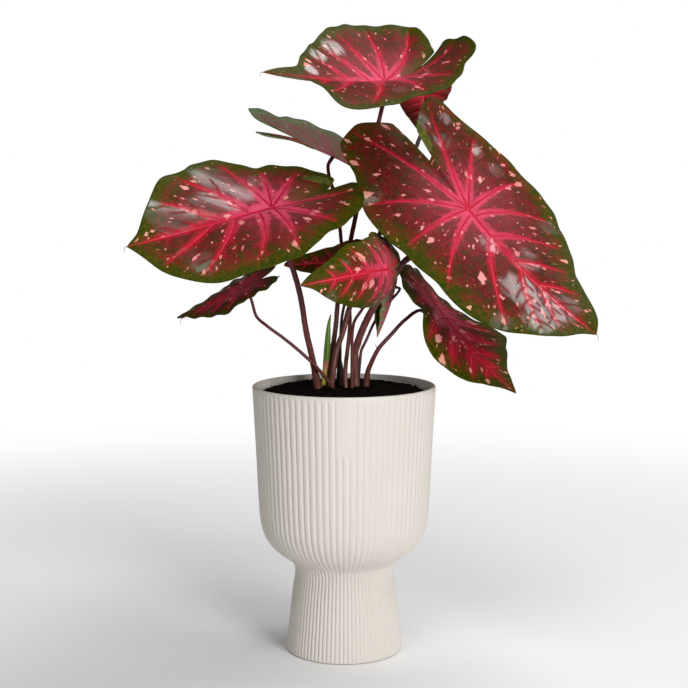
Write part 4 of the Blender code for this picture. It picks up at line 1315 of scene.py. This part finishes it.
def paint_soil():
    """Moist potting mix, almost black, with brown fibres and a few pale specks: perlite, together with
    painted glints.
    """
    material, paint, shader = new_material("potting_mix")
    place = millimetres(paint)
    coarse = paint.noise(place, 0.5, 4.0, 0.65)
    colour = paint.mix(coarse, (0.0015, 0.0011, 0.0010), (0.0085, 0.0055, 0.0040))
    # Pale specks: perlite crumbs, also standing in as painted glints on the damp soil
    speck = paint.step(paint.noise(place, 1.9, 2.0), 0.70, 0.73)
    colour = paint.mix(paint.math("MULTIPLY", speck, 0.6), colour, (0.30, 0.27, 0.24))
    paint.feed(shader.inputs["Base Color"], colour)
    paint.feed(shader.inputs["Specular IOR Level"], 0.04)
    paint.feed(shader.inputs["Roughness"], paint.step(coarse, 0.3, 0.7, 0.6, 0.95))
    paint.feed(shader.inputs["Normal"], paint.bump(paint.noise(place, 1.2, 4.0, 0.7), 0.5))
    return material


def paint_stalk():
    """Dark maroon stalks, pinker and paler towards the foot, with fine long streaks."""
    material, paint, shader = new_material("maroon_stalk")
    place = millimetres(paint)
    run = paint.attribute("run")
    streak = paint.noise(paint.scaled(place, (1.6, 1.6, 0.12)), 0.8, 3.0)
    low = paint.mix(streak, (0.045, 0.011, 0.009), (0.21, 0.060, 0.042))
    high = paint.mix(streak, (0.030, 0.003, 0.004), (0.15, 0.008, 0.015))
    colour = paint.mix(paint.step(run, 0.15, 0.55), low, high)
    blotch = paint.step(paint.noise(place, 0.22, 3.0), 0.55, 0.72)
    colour = paint.mix(paint.math("MULTIPLY", blotch, 0.35), colour, (0.020, 0.008, 0.005))
    paint.feed(shader.inputs["Base Color"], colour)
    paint.feed(shader.inputs["Specular IOR Level"], 0.35)
    paint.feed(shader.inputs["Roughness"], paint.math("MULTIPLY_ADD", streak, 0.2, 0.30))
    paint.feed(shader.inputs["Normal"], paint.bump(streak, 0.12))
    return material


def paint_spear():
    """Young rolled leaf: yellow foot, pink middle and green top."""
    material, paint, shader = new_material("young_leaf_skin")
    place = millimetres(paint)
    run = paint.attribute("run")
    streak = paint.noise(paint.scaled(place, (1.6, 1.6, 0.1)), 0.9, 3.0)
    shifted = paint.math("MULTIPLY_ADD", streak, 0.12, run)
    foot = paint.mix(paint.step(shifted, 0.30, 0.48), (0.55, 0.42, 0.05), (0.50, 0.16, 0.10))
    colour = paint.mix(paint.step(shifted, 0.46, 0.54), foot, (0.085, 0.17, 0.008))
    paint.feed(shader.inputs["Base Color"], colour)
    paint.feed(shader.inputs["Roughness"], 0.4)
    paint.feed(shader.inputs["Normal"], paint.bump(streak, 0.1))
    return material


def paint_sheath_with_painted_shade():
    """Dry dark brown skin with long creases, darkened almost to black as painted shade from among the stalks.
    """
    material, paint, shader = new_material("dry_sheath")
    place = millimetres(paint)
    streak = paint.noise(paint.scaled(place, (1.4, 1.4, 0.2)), 0.9, 3.0)
    # Near-black browns: the sheath's own dark brown, deepened by painted shade
    paint.feed(shader.inputs["Base Color"], paint.mix(streak, (0.006, 0.004, 0.003), (0.045, 0.022, 0.016)))
    paint.feed(shader.inputs["Specular IOR Level"], 0.2)
    paint.feed(shader.inputs["Roughness"], 0.7)
    paint.feed(shader.inputs["Normal"], paint.bump(streak, 0.3))
    return material


def paint_tuber():
    """Brown corky skin with rings and root scars."""
    material, paint, shader = new_material("corky_skin")
    place = millimetres(paint)
    rough = paint.noise(place, 0.5, 4.0, 0.6)
    rings = paint.math("SINE", paint.math("MULTIPLY_ADD", rough, 3.0, paint.vector("LENGTH", place)))
    colour = paint.mix(rough, (0.03, 0.015, 0.009), (0.13, 0.07, 0.04))
    colour = paint.mix(paint.step(rings, 0.6, 1.0, 0.0, 0.4), colour, (0.02, 0.012, 0.008))
    paint.feed(shader.inputs["Base Color"], colour)
    paint.feed(shader.inputs["Roughness"], paint.step(rough, 0.2, 0.8, 0.7, 0.95))
    paint.feed(shader.inputs["Normal"], paint.bump(rough, 0.5))
    return material


def paint_floor():
    """Plain pale floor, which grows as light as the backdrop away from the pot."""
    material, paint, shader = new_material("pale_floor")
    place = paint.node("ShaderNodeTexCoord").outputs["Object"]
    cloud = paint.noise(place, 1.5, 2.0)
    paint.feed(shader.inputs["Base Color"], paint.mix(cloud, (0.87, 0.87, 0.87), (0.89, 0.89, 0.89)))
    paint.feed(shader.inputs["Roughness"], 0.9)
    seen = paint.node("ShaderNodeLightPath").outputs["Is Camera Ray"]
    away = paint.step(paint.vector("LENGTH", place), *FLOOR_FADE)
    glow = paint.node("ShaderNodeEmission")
    blend = paint.node("ShaderNodeMixShader")
    paint.feed(blend.inputs[0], paint.math("MULTIPLY", seen, away))
    paint.feed(blend.inputs[1], shader.outputs[0])
    paint.feed(blend.inputs[2], glow.outputs[0])
    paint.feed(material.node_tree.nodes["Material Output"].inputs["Surface"], blend.outputs[0])
    return material


def build_floor():
    """Lay a plain pale floor under the pot."""
    corners = [(x, y, -0.0004) for x, y in ((-9, -9), (9, -9), (9, 9), (-9, 9))]
    mesh = bpy.data.meshes.new("floor")
    mesh.from_pydata(corners, [], [(0, 1, 2, 3)])
    mesh.materials.append(paint_floor())
    floor = bpy.data.objects.new("floor", mesh)
    bpy.context.collection.objects.link(floor)


def add_light(name, place, aim_height, size, power):
    """Hang one square soft light that looks at a point above the origin."""
    data = bpy.data.lights.new(name, "AREA")
    data.size = size
    data.energy = power
    light = bpy.data.objects.new(name, data)
    light.location = place
    light.rotation_euler = (Vector((0, 0, aim_height)) - Vector(place)).to_track_quat("-Z", "Y").to_euler()
    bpy.context.collection.objects.link(light)


def light_studio():
    """Light the plant with a low key from the front right, a weak fill and two soft boxes above."""
    for light in LIGHTS:
        add_light(*light)
    world = bpy.data.worlds.new("studio")
    world.use_nodes = True
    paint = Paint(world.node_tree)
    seen = paint.node("ShaderNodeLightPath").outputs["Is Camera Ray"]
    backdrop = world.node_tree.nodes["Background"]
    backdrop.inputs["Color"].default_value = (1, 1, 1, 1)
    paint.feed(backdrop.inputs["Strength"], paint.step(seen, 0.0, 1.0, ROOM_LIGHT, 1.0))
    bpy.context.scene.world = world
    bpy.context.scene.view_settings.view_transform = "Standard"


def set_camera():
    """Stand the camera where the photograph was taken from."""
    data = bpy.data.cameras.new("camera")
    data.lens = CAMERA_LENS
    data.sensor_width = SENSOR_WIDTH
    camera = bpy.data.objects.new("camera", data)
    camera.location = CAMERA_PLACE
    camera.rotation_euler = (math.radians(90 - CAMERA_DROP), 0, 0)
    bpy.context.collection.objects.link(camera)
    bpy.context.scene.camera = camera


def dress_node(node, material):
    """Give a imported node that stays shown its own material."""
    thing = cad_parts[node]
    thing.data.materials.clear()
    thing.data.materials.append(material)


def main():
    """Dress the plant, its pot and its soil, and light them."""
    set_camera()
    light_studio()
    build_floor()
    groups = make_groups()
    build_pot(paint_pot())
    soil = paint_soil()
    build_soil_top(soil)
    build_soil_crumbs(soil)
    dress_node("tuber", paint_tuber())
    stalk = paint_stalk()
    back = paint_leaf_back(groups, "leaf_underside")
    for leaf in LEAVES:
        if leaf.right_veins is leaf.left_veins:
            leaf = leaf._replace(right_veins=mirrored(leaf.left_veins))
        build_blade(leaf, (paint_leaf_top(groups, "leaf_face_" + leaf.name, leaf.look), back))
        build_stalk(leaf, stalk)
        if leaf.name in HAIRY_TIPS:
            build_hair(leaf, stalk)
    build_thread("dry_wisp", WISP_ROUTE, 0.7, 0.08, stalk)
    build_spear(paint_spear())
    build_sheath(paint_sheath_with_painted_shade())


main()
